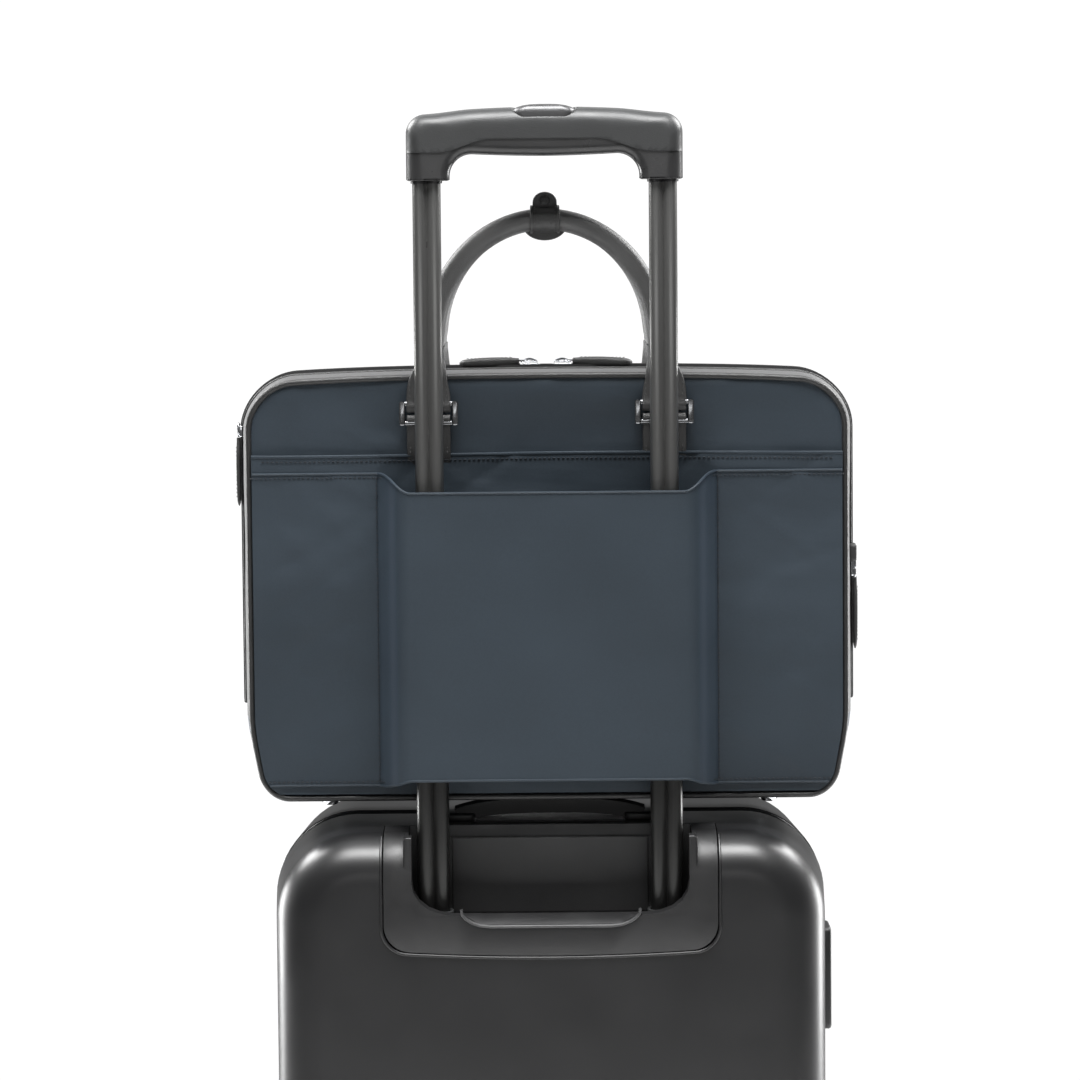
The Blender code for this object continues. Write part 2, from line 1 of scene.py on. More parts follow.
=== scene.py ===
"""A navy nylon laptop case on the telescopic handle of a black wheeled case."""

from math import cos, exp, hypot, pi, radians, sin, sqrt

import bmesh
import bpy
from bpy.props import FloatProperty, FloatVectorProperty, IntProperty, PointerProperty
from mathutils import Matrix, Vector, noise
from mathutils.bvhtree import BVHTree


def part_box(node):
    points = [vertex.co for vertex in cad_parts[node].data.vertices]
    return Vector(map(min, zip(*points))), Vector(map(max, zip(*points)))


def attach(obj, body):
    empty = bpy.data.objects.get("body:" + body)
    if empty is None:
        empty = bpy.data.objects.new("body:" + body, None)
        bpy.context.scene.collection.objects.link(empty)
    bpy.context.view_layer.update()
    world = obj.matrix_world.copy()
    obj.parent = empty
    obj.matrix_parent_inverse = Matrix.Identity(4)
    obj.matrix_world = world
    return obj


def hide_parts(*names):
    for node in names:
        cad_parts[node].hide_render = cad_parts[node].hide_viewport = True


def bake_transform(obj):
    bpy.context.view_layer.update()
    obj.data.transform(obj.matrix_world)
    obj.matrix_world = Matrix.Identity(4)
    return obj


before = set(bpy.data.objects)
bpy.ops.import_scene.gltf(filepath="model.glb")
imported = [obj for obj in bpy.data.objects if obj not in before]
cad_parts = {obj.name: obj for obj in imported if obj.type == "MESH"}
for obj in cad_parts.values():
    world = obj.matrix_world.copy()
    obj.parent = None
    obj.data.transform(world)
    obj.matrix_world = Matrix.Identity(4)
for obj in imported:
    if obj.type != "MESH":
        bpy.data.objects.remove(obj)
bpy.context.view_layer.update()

bl_info = {
    "name": "Rolling laptop case",
    "version": (1, 0, 0),
    "blender": (4, 5, 0),
    "location": "3D View > Sidebar > Laptop case",
    "description": "Makes the visible pieces of a laptop case carried on a wheeled case",
    "category": "Object",
}

# --- places taken from the frame ---

PANEL_LOW, PANEL_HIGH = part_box("bag_front_panel")
SLEEVE_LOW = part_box("trolley_sleeve")[0]
POCKET_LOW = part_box("back_pocket")[0]
SHELL_LOW, SHELL_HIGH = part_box("rear_shell")
FRONT_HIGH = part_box("front_shell")[1]
HOUSING_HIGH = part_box("handle_housing")[1]
GRIP_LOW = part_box("grip_lower")[0]
COVER_LOW, COVER_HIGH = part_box("grip_upper")
INNER_LOW, INNER_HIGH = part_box("inner_tube_right")
MIDDLE_LOW, MIDDLE_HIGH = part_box("middle_tube_right")
ROLL_LOW, ROLL_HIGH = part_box("rear_handle")
FRONT_ROLL_LOW, FRONT_ROLL_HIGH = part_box("front_handle")
RING_LOW, RING_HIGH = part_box("rear_ring_right")

SIDES = (("left", -1), ("right", 1))
ACROSS = Vector((1, 0, 0))
AWAY = Vector((0, 1, 0))
UP = Vector((0, 0, 1))
CASTER_X = 0.142
CASTER_Y = 0.082
CORNERS = tuple((f"{row}_{name}", row, x) for row in ("rear", "front") for name, x in SIDES)

BAG_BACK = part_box("bag_body")[0].y
BAG_FRONT = PANEL_HIGH.y
ZIP_LINE = PANEL_LOW.y
TUBE_X = (INNER_LOW.x + INNER_HIGH.x) / 2
TUBE_Y = (INNER_LOW.y + INNER_HIGH.y) / 2
ROLL_RADIUS = (ROLL_HIGH.y - ROLL_LOW.y) / 2
RING_X = (RING_LOW.x + RING_HIGH.x) / 2
RING_Z = (RING_LOW.z + RING_HIGH.z) / 2
CASE_HALF = SHELL_HIGH.x
CASE_TOP = SHELL_HIGH.z - 0.0035  # a little lower than the plain CAD shell
CASE_BOTTOM = SHELL_LOW.z
CASE_MIDDLE = (CASE_TOP + CASE_BOTTOM) / 2

# --- the user's settings ---


class CaseSettings(bpy.types.PropertyGroup):
    nylon_colour: FloatVectorProperty(
        name="Nylon", description="Colour of the laptop case's cloth", subtype="COLOR",
        default=(0.0180, 0.0275, 0.0375), min=0.0, max=1.0,
    )
    leather_colour: FloatVectorProperty(
        name="Leather", description="Colour of the handles, piping and tabs", subtype="COLOR",
        default=(0.028, 0.028, 0.028), min=0.0, max=1.0,
    )
    shell_colour: FloatVectorProperty(
        name="Shell", description="Colour of the hard shells", subtype="COLOR",
        default=(0.0085, 0.0085, 0.0090), min=0.0, max=1.0,
    )
    stitch_pitch: FloatProperty(
        name="Stitch pitch", description="Distance from one stitch to the next",
        default=0.0031, unit="LENGTH", min=0.001, max=0.02,
    )
    tooth_pitch: FloatProperty(
        name="Zip tooth pitch", description="Distance from one zip tooth to the next",
        default=0.0021, unit="LENGTH", min=0.0005, max=0.02,
    )
    wrinkle_depth: FloatProperty(
        name="Wrinkle depth", description="How far the cloth's soft wrinkles stand out",
        default=0.0017, unit="LENGTH", min=0.0, max=0.01,
    )
    wheel_spokes: IntProperty(
        name="Wheel spokes", description="Spokes on each face of a wheel",
        default=6, min=3, max=12,
    )


def settings():
    return bpy.context.scene.rolling_case


# --- materials ---


class Shader:
    """A node tree around one Principled BSDF, with short calls for its usual parts."""

    def __init__(self, name):
        self.material = bpy.data.materials.new(name)
        self.material.use_nodes = True
        self.tree = self.material.node_tree
        self.bsdf = self.tree.nodes["Principled BSDF"]
        self.place = self.add("ShaderNodeTexCoord").outputs["Object"]
        self.height = None

    def add(self, kind, **settings_of_node):
        made = self.tree.nodes.new(kind)
        for key, value in settings_of_node.items():
            setattr(made, key, value)
        return made

    def link(self, start, end):
        self.tree.links.new(start, end)

    def set(self, **sockets):
        for name, value in sockets.items():
            self.bsdf.inputs[name.replace("_", " ")].default_value = value

    def noise(self, scale, detail=3.0, stretch=(1, 1, 1), rough=0.5):
        mapping = self.add("ShaderNodeMapping")
        mapping.inputs["Scale"].default_value = stretch
        self.link(self.place, mapping.inputs["Vector"])
        texture = self.add("ShaderNodeTexNoise")
        texture.inputs["Scale"].default_value = scale
        texture.inputs["Detail"].default_value = detail
        texture.inputs["Roughness"].default_value = rough
        self.link(mapping.outputs["Vector"], texture.inputs["Vector"])
        return texture.outputs["Fac"]

    def cells(self, scale):
        texture = self.add("ShaderNodeTexVoronoi")
        texture.inputs["Scale"].default_value = scale
        self.link(self.place, texture.inputs["Vector"])
        return texture.outputs["Distance"]

    def bands(self, axis, scale, distortion=0.0):
        texture = self.add("ShaderNodeTexWave", bands_direction=axis)
        texture.inputs["Scale"].default_value = scale
        texture.inputs["Distortion"].default_value = distortion
        self.link(self.place, texture.inputs["Vector"])
        return texture.outputs["Fac"]

    def between(self, value, low, high, start=0.0, end=1.0):
        span = self.add("ShaderNodeMapRange")
        self.link(value, span.inputs["Value"])
        limits = {"From Min": start, "From Max": end, "To Min": low, "To Max": high}
        for name, limit in limits.items():
            span.inputs[name].default_value = limit
        return span.outputs["Result"]

    def maths(self, operation, first, second):
        made = self.add("ShaderNodeMath", operation=operation)
        for value, socket in zip((first, second), made.inputs):
            if isinstance(value, (int, float)):
                socket.default_value = value
            else:
                self.link(value, socket)
        return made.outputs[0]

    def colour(self, value, dark, light):
        mix = self.add("ShaderNodeMix", data_type="RGBA")
        self.link(value, mix.inputs["Factor"])
        mix.inputs[6].default_value = (*dark, 1.0)
        mix.inputs[7].default_value = (*light, 1.0)
        self.link(mix.outputs[2], self.bsdf.inputs["Base Color"])

    def roughness(self, value, low, high, start=0.3, end=0.7):
        self.link(self.between(value, low, high, start, end), self.bsdf.inputs["Roughness"])

    def bump(self, value, distance, strength=1.0):
        """Adds one layer of relief. Layers are chained from the first to the last."""
        made = self.add("ShaderNodeBump")
        made.inputs["Strength"].default_value = strength
        made.inputs["Distance"].default_value = distance
        self.link(value, made.inputs["Height"])
        if self.height:
            self.link(self.height, made.inputs["Normal"])
        self.height = made.outputs["Normal"]
        self.link(self.height, self.bsdf.inputs["Normal"])


def scaled(colour, share):
    return tuple(min(1.0, channel * share) for channel in colour)


def nylon_material(name, share=1.0):
    """Close twill with a soft sheen, slow changes of tone and fine creases."""
    made = Shader(name)
    base = scaled(settings().nylon_colour, share)
    tone = made.noise(5.0, 4.0, (1.0, 1.0, 1.6))
    fleck = made.noise(900.0, 1.0)
    mixed = made.maths("ADD", made.maths("MULTIPLY", tone, 0.75), made.maths("MULTIPLY", fleck, 0.25))
    made.colour(made.between(mixed, 0.0, 1.0, 0.34, 0.66), scaled(base, 0.80), scaled(base, 1.22))
    warp = made.bands("X", 520.0)
    weft = made.bands("Z", 420.0)
    made.bump(made.maths("MULTIPLY", warp, weft), 0.00012, 0.55)
    made.bump(made.noise(95.0, 4.0, (1.0, 1.0, 0.6)), 0.0006, 0.22)
    made.roughness(tone, 0.46, 0.60)
    made.set(Sheen_Weight=0.10, Sheen_Roughness=0.40, Specular_IOR_Level=0.40)
    made.bsdf.inputs["Sheen Tint"].default_value = (0.62, 0.76, 1.0, 1.0)
    return made.material


def leather_material(name, share=1.0, rough=(0.38, 0.56)):
    """Fine pebbled grain, a little polished on its crests."""
    made = Shader(name)
    base = scaled(settings().leather_colour, share)
    grain = made.cells(1500.0)
    fine = made.noise(420.0, 5.0)
    made.colour(made.noise(38.0, 4.0), scaled(base, 0.72), scaled(base, 1.35))
    made.bump(grain, 0.00035, 0.55)
    made.bump(fine, 0.00030, 0.30)
    made.roughness(fine, *rough)
    made.set(Specular_IOR_Level=0.5, Coat_Weight=0.10, Coat_Roughness=0.35)
    return made.material


def shell_material():
    """Moulded polycarbonate: smooth and dark, with a faint orange-peel and soft scuffs."""
    made = Shader("satin_polycarbonate")
    base = tuple(settings().shell_colour)
    cloud = made.noise(7.0, 5.0)
    made.colour(cloud, scaled(base, 0.85), scaled(base, 1.25))
    made.roughness(made.noise(26.0, 6.0), 0.33, 0.42)
    made.bump(made.noise(700.0, 2.0), 0.00010, 0.16)
    made.bump(made.noise(9.0, 2.0), 0.0014, 0.05)
    made.set(Specular_IOR_Level=0.42, Coat_Weight=0.20, Coat_Roughness=0.28)
    return made.material


def plastic_material(name, colour, rough=(0.34, 0.46), grain=0.00012, coat=0.0):
    """Moulded plastic with a fine spark-eroded texture."""
    made = Shader(name)
    made.colour(made.noise(24.0, 4.0), scaled(colour, 0.86), scaled(colour, 1.18))
    made.roughness(made.noise(60.0, 5.0), *rough)
    made.bump(made.noise(1400.0, 2.0), grain, 0.5)
    made.set(Specular_IOR_Level=0.5, Coat_Weight=coat, Coat_Roughness=0.2)
    return made.material


def tube_material(name, share):
    """Dark anodised aluminium, drawn along its length."""
    made = Shader(name)
    drawn = made.noise(240.0, 4.0, (4.0, 4.0, 0.02))
    made.colour(drawn, scaled((0.165, 0.165, 0.162), share), scaled((0.215, 0.215, 0.210), share))
    made.roughness(drawn, 0.30, 0.38)
    made.bump(drawn, 0.00003, 0.15)
    made.set(Metallic=0.85, Anisotropic=0.35)
    return made.material


def metal_material(name, colour, rough=(0.14, 0.26)):
    """Plated metal with faint polishing marks."""
    made = Shader(name)
    mark = made.noise(320.0, 5.0, (1.0, 1.0, 3.0))
    made.colour(made.noise(60.0, 3.0), scaled(colour, 0.88), scaled(colour, 1.08))
    made.roughness(mark, *rough)
    made.bump(mark, 0.00004, 0.3)
    made.set(Metallic=1.0)
    return made.material


def tape_material():
    """Woven zip tape and binding: narrow ribs across a dark matt cloth."""
    made = Shader("woven_tape")
    rib = made.bands("DIAGONAL", 480.0, 0.4)
    made.colour(made.noise(700.0, 3.0), (0.010, 0.010, 0.0105), (0.026, 0.026, 0.027))
    made.bump(rib, 0.00014, 0.6)
    made.roughness(made.noise(120.0, 3.0), 0.62, 0.80)
    made.set(Sheen_Weight=0.2, Sheen_Roughness=0.5)
    return made.material


def lining_material():
    """Smooth grey lining cloth with a small woven check."""
    made = Shader("lining_cloth")
    check = made.maths("MULTIPLY", made.bands("X", 110.0), made.bands("Z", 110.0))
    made.colour(made.between(check, 0.0, 1.0), (0.060, 0.064, 0.070), (0.105, 0.110, 0.118))
    made.bump(check, 0.00020, 0.5)
    made.roughness(made.noise(70.0, 3.0), 0.55, 0.72)
    made.set(Sheen_Weight=0.25, Sheen_Roughness=0.4)
    return made.material


def thread_material():
    made = Shader("navy_thread")
    twist = made.noise(2600.0, 2.0)
    made.colour(twist, (0.003, 0.005, 0.008), (0.016, 0.021, 0.028))
    made.bump(twist, 0.00010, 0.6)
    made.roughness(twist, 0.45, 0.62)
    return made.material


def tyre_material():
    made = Shader("soft_tyre")
    made.colour(made.noise(90.0, 4.0), (0.012, 0.012, 0.012), (0.024, 0.024, 0.024))
    made.bump(made.noise(900.0, 3.0), 0.00018, 0.6)
    made.roughness(made.noise(140.0, 4.0), 0.58, 0.80)
    return made.material


MATERIALS = {}


def build_materials():
    MATERIALS.update(
        nylon=nylon_material("navy_nylon"),
        nylon_sleeve=nylon_material("navy_nylon_sleeve", 0.97),
        leather=leather_material("black_leather"),
        # The rolled handles use the black leather made 2.3 times lighter: painted highlight for the light
        # the lamps put along the round handles.
        roll=leather_material("roll_leather_painted_highlight", 2.3, (0.36, 0.50)),
        # The piping, zip bindings and snap stud use the black leather at half its brightness: painted shade
        # that keeps the round beads as dark as the flat tabs.
        piping=leather_material("piping_leather_painted_shade", 0.50, (0.34, 0.50)),
        shell=shell_material(),
        housing=plastic_material("housing_plastic", (0.0125, 0.0125, 0.0130), (0.36, 0.48)),
        grip=plastic_material("grip_plastic", (0.030, 0.031, 0.0315), (0.36, 0.46), 0.00016),
        grip_dark=plastic_material("grip_underside", (0.024, 0.024, 0.0245), (0.26, 0.36), 0.00010),
        # A light grey plastic four times lighter than the housing: painted light on the back of the handle
        # well and a painted highlight on the lip's edge.
        liner=plastic_material("recess_liner", (0.052, 0.052, 0.053), (0.34, 0.46)),
        button=metal_material("button_metal", (0.105, 0.105, 0.107), (0.40, 0.52)),
        tube=tube_material("anodised_tube", 1.0),
        # The lower and guide tubes use the same anodised aluminium at 0.30 of its brightness: painted shade
        # for the dark gap under the laptop case.
        tube_dark=tube_material("anodised_tube_painted_shade", 0.30),
        metal=metal_material("dark_nickel", (0.300, 0.305, 0.315)),
        bright=metal_material("bright_nickel", (0.62, 0.63, 0.65), (0.10, 0.20)),
        tape=tape_material(),
        lining=lining_material(),
        thread=thread_material(),
        dark_thread=leather_material("black_thread", 1.9, (0.5, 0.6)),
        tyre=tyre_material(),
    )


# --- mesh tools ---


def linked(name, data):
    """A new object of the scene."""
    obj = bpy.data.objects.new(name, data)
    bpy.context.scene.collection.objects.link(obj)
    return obj


def finish_piece(name, mesh, materials, body=None, replaces=(), sharp=35.0):
    """A piece from a mesh in place, or from verts and faces, riding on a body of the frame."""
    if isinstance(mesh, tuple):
        mesh = closed_mesh(name, *mesh)
    obj = linked(name, mesh)
    if not mesh.materials:
        for material in materials:
            mesh.materials.append(MATERIALS[material])
    mesh.shade_smooth()
    mesh.set_sharp_from_angle(angle=radians(sharp))
    if body:
        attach(obj, body)
    if replaces:
        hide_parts(*replaces)
    return obj


def closed_mesh(name, verts, faces, indices=None):
    """A mesh whose normals point outwards."""
    mesh = bpy.data.meshes.new(name)
    mesh.from_pydata([tuple(v) for v in verts], [], faces)
    if indices:
        mesh.polygons.foreach_set("material_index", indices)
    bm = bmesh.new()
    bm.from_mesh(mesh)
    bmesh.ops.remove_doubles(bm, verts=bm.verts, dist=1e-6)
    bmesh.ops.recalc_face_normals(bm, faces=bm.faces)
    if bm.calc_volume(signed=True) < 0:
        bmesh.ops.reverse_faces(bm, faces=bm.faces)
    bm.to_mesh(mesh)
    bm.free()
    return mesh


def facing_away(mesh, centre):
    """An open mesh, turned so that most of its faces look away from a point."""
    outward = sum(((p.center - centre).dot(p.normal) > 0) for p in mesh.polygons)
    if outward < len(mesh.polygons) / 2:
        mesh.flip_normals()
    return mesh


def facing_along(mesh, direction):
    """An open mesh, turned so that its faces look along a direction."""
    if sum(p.normal.dot(direction) for p in mesh.polygons) < 0:
        mesh.flip_normals()
    return mesh


def loft(rings, cap_start=False, cap_end=False, wrap=True):
    """Verts and faces that join rings of equal count, one after another."""
    count = len(rings[0])
    verts = [point for ring in rings for point in ring]
    faces = []
    for r in range(len(rings) - 1):
        for i in range(count if wrap else count - 1):
            j = (i + 1) % count
            low, high = r * count, (r + 1) * count
            faces.append((low + i, low + j, high + j, high + i))
    if cap_start:
        faces.append(tuple(range(count))[::-1])
    if cap_end:
        start = (len(rings) - 1) * count
        faces.append(tuple(range(start, start + count)))
    return verts, faces


def mesh_data(mesh):
    """The verts and faces of a mesh."""
    return [v.co.copy() for v in mesh.vertices], [tuple(p.vertices) for p in mesh.polygons]


def joined(parts):
    """One list of verts and faces from several."""
    verts, faces = [], []
    for more_verts, more_faces in parts:
        start = len(verts)
        verts += list(more_verts)
        faces += [tuple(start + i for i in face) for face in more_faces]
    return verts, faces


def evaluated_mesh(obj, remove=True):
    """The object's mesh with its modifiers applied."""
    graph = bpy.context.evaluated_depsgraph_get()
    mesh = bpy.data.meshes.new_from_object(obj.evaluated_get(graph), depsgraph=graph)
    if remove:
        bpy.data.objects.remove(obj)
    return mesh


def with_modifier(mesh, kind, **values):
    """A mesh with one modifier applied to it."""
    obj = linked("working", mesh)
    modifier = obj.modifiers.new("step", kind)
    for key, value in values.items():
        setattr(modifier, key, value)
    return evaluated_mesh(obj)


def boolean(mesh, other, operation="DIFFERENCE"):
    """A mesh cut by, joined with or kept inside another."""
    cutter = linked("cutter", other)
    made = with_modifier(mesh, "BOOLEAN", operation=operation, solver="EXACT", object=cutter)
    bpy.data.objects.remove(cutter)
    return made


def bevelled(mesh, width, segments=2, angle=40.0):
    return with_modifier(
        mesh, "BEVEL", width=width, segments=segments, limit_method="ANGLE",
        angle_limit=radians(angle), use_clamp_overlap=True, harden_normals=False,
    )


def thickened(mesh, thickness, inner_material=0, offset=-1.0):
    """A surface given thickness inwards, the new inner face in its own material."""
    return with_modifier(
        mesh, "SOLIDIFY", thickness=thickness, offset=offset, material_offset=inner_material
    )


def rounded_rect(half_u, half_v, radius, steps=8, side=1, low_radius=None):
    """Points round a rectangle with round corners, from the top of its right side."""
    points, arcs = [], []
    low_radius = radius if low_radius is None else low_radius
    for sign_u, sign_v, start in ((1, 1, 0.0), (-1, 1, pi / 2), (-1, -1, pi), (1, -1, 3 * pi / 2)):
        corner = radius if sign_v > 0 else low_radius
        centre_u, centre_v = sign_u * (half_u - corner), sign_v * (half_v - corner)
        angles = [start + pi / 2 * i / steps for i in range(steps + 1)]
        arcs.append([(centre_u + corner * cos(a), centre_v + corner * sin(a)) for a in angles])
    for arc, following in zip(arcs, arcs[1:] + arcs[:1]):
        points += arc
        (u0, v0), (u1, v1) = arc[-1], following[0]
        for k in range(1, side):
            share = k / side
            points.append((u0 + (u1 - u0) * share, v0 + (v1 - v0) * share))
    return points


def inset_outline(points, distance):
    """A closed outline, anticlockwise, moved inwards along its corners' normals."""
    count = len(points)
    moved = []
    for i, (u, v) in enumerate(points):
        before, after = Vector(points[i - 1]), Vector(points[(i + 1) % count])
        along = (after - before).normalized()
        moved.append((u - along.y * distance, v + along.x * distance))
    return moved


def cushion_block(outline, low_y, high_y, radius, steps=4, place=None):
    """An outline in X and Z given depth along Y, its front and back edges rounded."""
    rings = []
    angles = [pi / 2 * i / steps for i in range(steps + 1)]
    edges = [(a, low_y, 1) for a in angles] + [(a, high_y, -1) for a in reversed(angles)]
    for angle, face, inward in edges:
        ring = inset_outline(outline, radius * (1 - sin(angle)))
        y = face + inward * radius * (1 - cos(angle))
        rings.append([(u, y, v) for u, v in ring])
    if place:
        rings = [[place(*point) for point in ring] for ring in rings]
    return loft(rings, True, True)


def box_mesh(low, high, radius=0.001, steps=3, axis=1):
    """A soft-edged box between two corners, rounded most across the given axis."""
    middle = (Vector(low) + Vector(high)) / 2
    half = (Vector(high) - Vector(low)) / 2
    u, v = [k for k in range(3) if k != axis]
    corner = min(half[u], half[v]) * 0.96
    outline = rounded_rect(half[u], half[v], min(corner, radius * 2), steps)
    edge = min(radius, half[axis] * 0.9, corner * 0.8)

    def place(a, b, c):
        point = Vector()
        point[u], point[axis], point[v] = a, b, c
        return point + middle

    form = cushion_block(outline, -half[axis], half[axis], edge, steps, place)
    return closed_mesh("box", *form)


def frames_along(points, up=AWAY):
    """(point, side, normal) at each point of a line, with the normal kept near up."""
    made = []
    for i, point in enumerate(points):
        before = points[max(i - 1, 0)]
        after = points[min(i + 1, len(points) - 1)]
        along = (after - before).normalized()
        side = along.cross(up).normalized()
        made.append((point, side, side.cross(along).normalized()))
    return made


def sweep(points, section, up=AWAY, closed=False):
    """A section carried along a line: (side, normal) pairs, or a function (i, share) for them."""
    points = [Vector(p) for p in points]
    line = points + [points[0]] if closed else points
    total = len(points)
    rings = []
    if closed:
        frames = frames_along([points[-1]] + line + [points[1]], up)[1:-1][:total]
    else:
        frames = frames_along(points, up)
    for i, (point, side, normal) in enumerate(frames):
        pairs = section(i, i / max(total - 1, 1)) if callable(section) else section
        rings.append([point + side * a + normal * b for a, b in pairs])
    if closed:
        rings.append(rings[0])
        return loft(rings)
    return loft(rings, True, True)


def circle(radius, count=12, flat=1.0):
    angles = [2 * pi * i / count for i in range(count)]
    return [(radius * cos(a), radius * flat * sin(a)) for a in angles]


def tube_along(points, radius, count=12, up=AWAY, closed=False, flat=1.0):
    return sweep(points, circle(radius, count, flat), up, closed)


def lathe(profile, centre, axis, steps=40):
    """A closed profile of (radius, distance) pairs turned about an axis."""
    centre = Vector(centre)
    turn = UP.rotation_difference(Vector(axis)).to_matrix()
    open_ends = profile[0] != profile[-1]
    rings = []
    for i in range(steps + 1):
        angle = 2 * pi * i / steps
        ring = [turn @ Vector((r * cos(angle), r * sin(angle), d)) + centre for r, d in profile]
        rings.append(ring if open_ends else ring[:-1])
    return loft(rings, wrap=not open_ends)


def smooth_line(corners, per_span=8):
    """A smooth open line through corner points, by cubic interpolation."""
    corners = [Vector(c) for c in corners]
    padded = [2 * corners[0] - corners[1]] + corners + [2 * corners[-1] - corners[-2]]
    line = []
    for i in range(1, len(padded) - 2):
        a, b, c, d = padded[i - 1 : i + 3]
        for k in range(per_span):
            t = k / per_span
            bend = (2 * a - 5 * b + 4 * c - d) * t * t
            twist = (3 * b - a - 3 * c + d) * t ** 3
            line.append(0.5 * (2 * b + (c - a) * t + bend + twist))
    return line + [corners[-1]]


def ease(value, start, end):
    """0 before start, 1 after end, and a smooth step between."""
    share = min(1.0, max(0.0, (value - start) / (end - start)))
    return share * share * (3 - 2 * share)


def soft_noise(x, y, z, scale, seed=0.0):
    return noise.noise(Vector((x * scale + seed, y * scale - seed, z * scale + 2 * seed)))


# --- repeats made with geometry nodes ---


def repeat_group():
    """A node tree that sets a small rounded block at even steps along a line."""
    name = "repeat_along_line"
    if name in bpy.data.node_groups:
        return bpy.data.node_groups[name]
    tree = bpy.data.node_groups.new(name, "GeometryNodeTree")
    for socket, way, kind in (
        ("Geometry", "INPUT", "Geometry"), ("Pitch", "INPUT", "Float"), ("Size", "INPUT", "Vector"),
        ("Slant", "INPUT", "Float"), ("Material", "INPUT", "Material"),
        ("Geometry", "OUTPUT", "Geometry"),
    ):
        tree.interface.new_socket(socket, in_out=way, socket_type=f"NodeSocket{kind}")
    add = tree.nodes.new
    source = add("NodeGroupInput")
    curve = add("GeometryNodeMeshToCurve")
    even = add("GeometryNodeResampleCurve")
    even.mode = "LENGTH"
    tangent = add("GeometryNodeInputTangent")
    up = add("GeometryNodeInputNamedAttribute")
    up.data_type = "FLOAT_VECTOR"
    up.inputs["Name"].default_value = "up"
    along = add("FunctionNodeAlignRotationToVector")
    along.axis = "X"
    upright = add("FunctionNodeAlignRotationToVector")
    upright.axis = "Z"
    upright.pivot_axis = "X"
    slant = add("FunctionNodeRotateRotation")
    slant.rotation_space = "LOCAL"
    angle = add("ShaderNodeCombineXYZ")
    block = add("GeometryNodeMeshCube")
    rounded = add("GeometryNodeSubdivisionSurface")
    place = add("GeometryNodeInstanceOnPoints")
    real = add("GeometryNodeRealizeInstances")
    paint = add("GeometryNodeSetMaterial")
    target = add("NodeGroupOutput")
    for start, output, end, socket in (
        (source, "Geometry", curve, "Mesh"),
        (curve, "Curve", even, "Curve"),
        (source, "Pitch", even, "Length"),
        (even, "Curve", place, "Points"),
        (source, "Size", block, "Size"),
        (block, "Mesh", rounded, "Mesh"),
        (rounded, "Mesh", place, "Instance"),
        (tangent, "Tangent", along, "Vector"),
        (along, "Rotation", upright, "Rotation"),
        (up, "Attribute", upright, "Vector"),
        (upright, "Rotation", slant, "Rotation"),
        (source, "Slant", angle, "Z"),
        (angle, "Vector", slant, "Rotate By"),
        (slant, "Rotation", place, "Rotation"),
        (place, "Instances", real, "Geometry"),
        (real, "Geometry", paint, "Geometry"),
        (source, "Material", paint, "Material"),
        (paint, "Geometry", target, "Geometry"),
    ):
        tree.links.new(start.outputs[output], end.inputs[socket])
    return tree


def repeated(name, lines, pitch, size, material, body, slant=0.0):
    """Blocks along lines. Each line is a list of (point, up) pairs."""
    verts, edges, ups = [], [], []
    for line in lines:
        start = len(verts)
        verts += [tuple(point) for point, up in line]
        ups += [tuple(up) for point, up in line]
        edges += [(start + i, start + i + 1) for i in range(len(line) - 1)]
    mesh = bpy.data.meshes.new(name)
    mesh.from_pydata(verts, edges, [])
    attribute = mesh.attributes.new("up", "FLOAT_VECTOR", "POINT")
    attribute.data.foreach_set("vector", [c for up in ups for c in up])
    obj = linked(name + "_line", mesh)
    modifier = obj.modifiers.new("repeat", "NODES")
    modifier.node_group = repeat_group()
    values = {"Pitch": pitch, "Size": size, "Slant": slant, "Material": MATERIALS[material]}
    for item in modifier.node_group.interface.items_tree:
        if item.in_out == "INPUT" and item.name in values:
            modifier[item.identifier] = values[item.name]
    made = evaluated_mesh(obj)
    made.materials.clear()
    return finish_piece(name, made, [material], body)


def stitches(name, lines, body, material="thread", size=(0.0027, 0.0011, 0.0009), pitch=None):
    pitch = pitch or settings().stitch_pitch
    return repeated(name, lines, pitch, size, material, body, slant=radians(5))


# --- the wheeled case: shells ---

CASE_CORNER = 0.056
CASE_LOWER_CORNER = 0.045
CASE_EDGE = 0.031
CASE_TAPER = 0.0065
SHELL_WALL = 0.0026
ZIP_HALF = 0.009


def shell_rings(zip_y, face_y, grow=0.0, edge_steps=12):
    """Rings of one half of the case, from the zip round the soft edge to the flat face."""
    side = 1 if face_y > zip_y else -1
    reach = abs(face_y - zip_y) + grow
    edge, corner, low_corner = CASE_EDGE + grow, CASE_CORNER + grow, CASE_LOWER_CORNER + grow
    half_z = (CASE_TOP - CASE_BOTTOM) / 2 + grow
    rings = []

    def ring_at(depth, inset):
        taper = CASE_TAPER * depth / reach
        outline = rounded_rect(
            CASE_HALF + grow - taper - inset, half_z - taper * 0.15 - inset,
            max(corner - inset, 0.012), 14, 10, max(low_corner - inset, 0.012),
        )
        y = zip_y + side * depth
        return [(u, y, CASE_MIDDLE + v) for u, v in outline]

    for i in range(5):
        rings.append(ring_at((reach - edge) * i / 4, 0.0))
    for i in range(1, edge_steps + 1):
        angle = pi / 2 * i / edge_steps
        rings.append(ring_at(reach - edge + edge * sin(angle), edge * (1 - cos(angle))))
    rim = rings[-1]
    for share in (0.97, 0.90, 0.75, 0.5, 0.25, 0.05):
        crown = 0.0006 * (1 - share ** 2) * side
        rings.append([(x * share, y + crown, CASE_MIDDLE + (z - CASE_MIDDLE) * share)
                      for x, y, z in rim])
    return rings


def shell_solid(zip_y, face_y, grow=0.0):
    """A solid form of one half of the case, for cutting and keeping."""
    return closed_mesh("shell_solid", *loft(shell_rings(zip_y, face_y, grow), True, True))


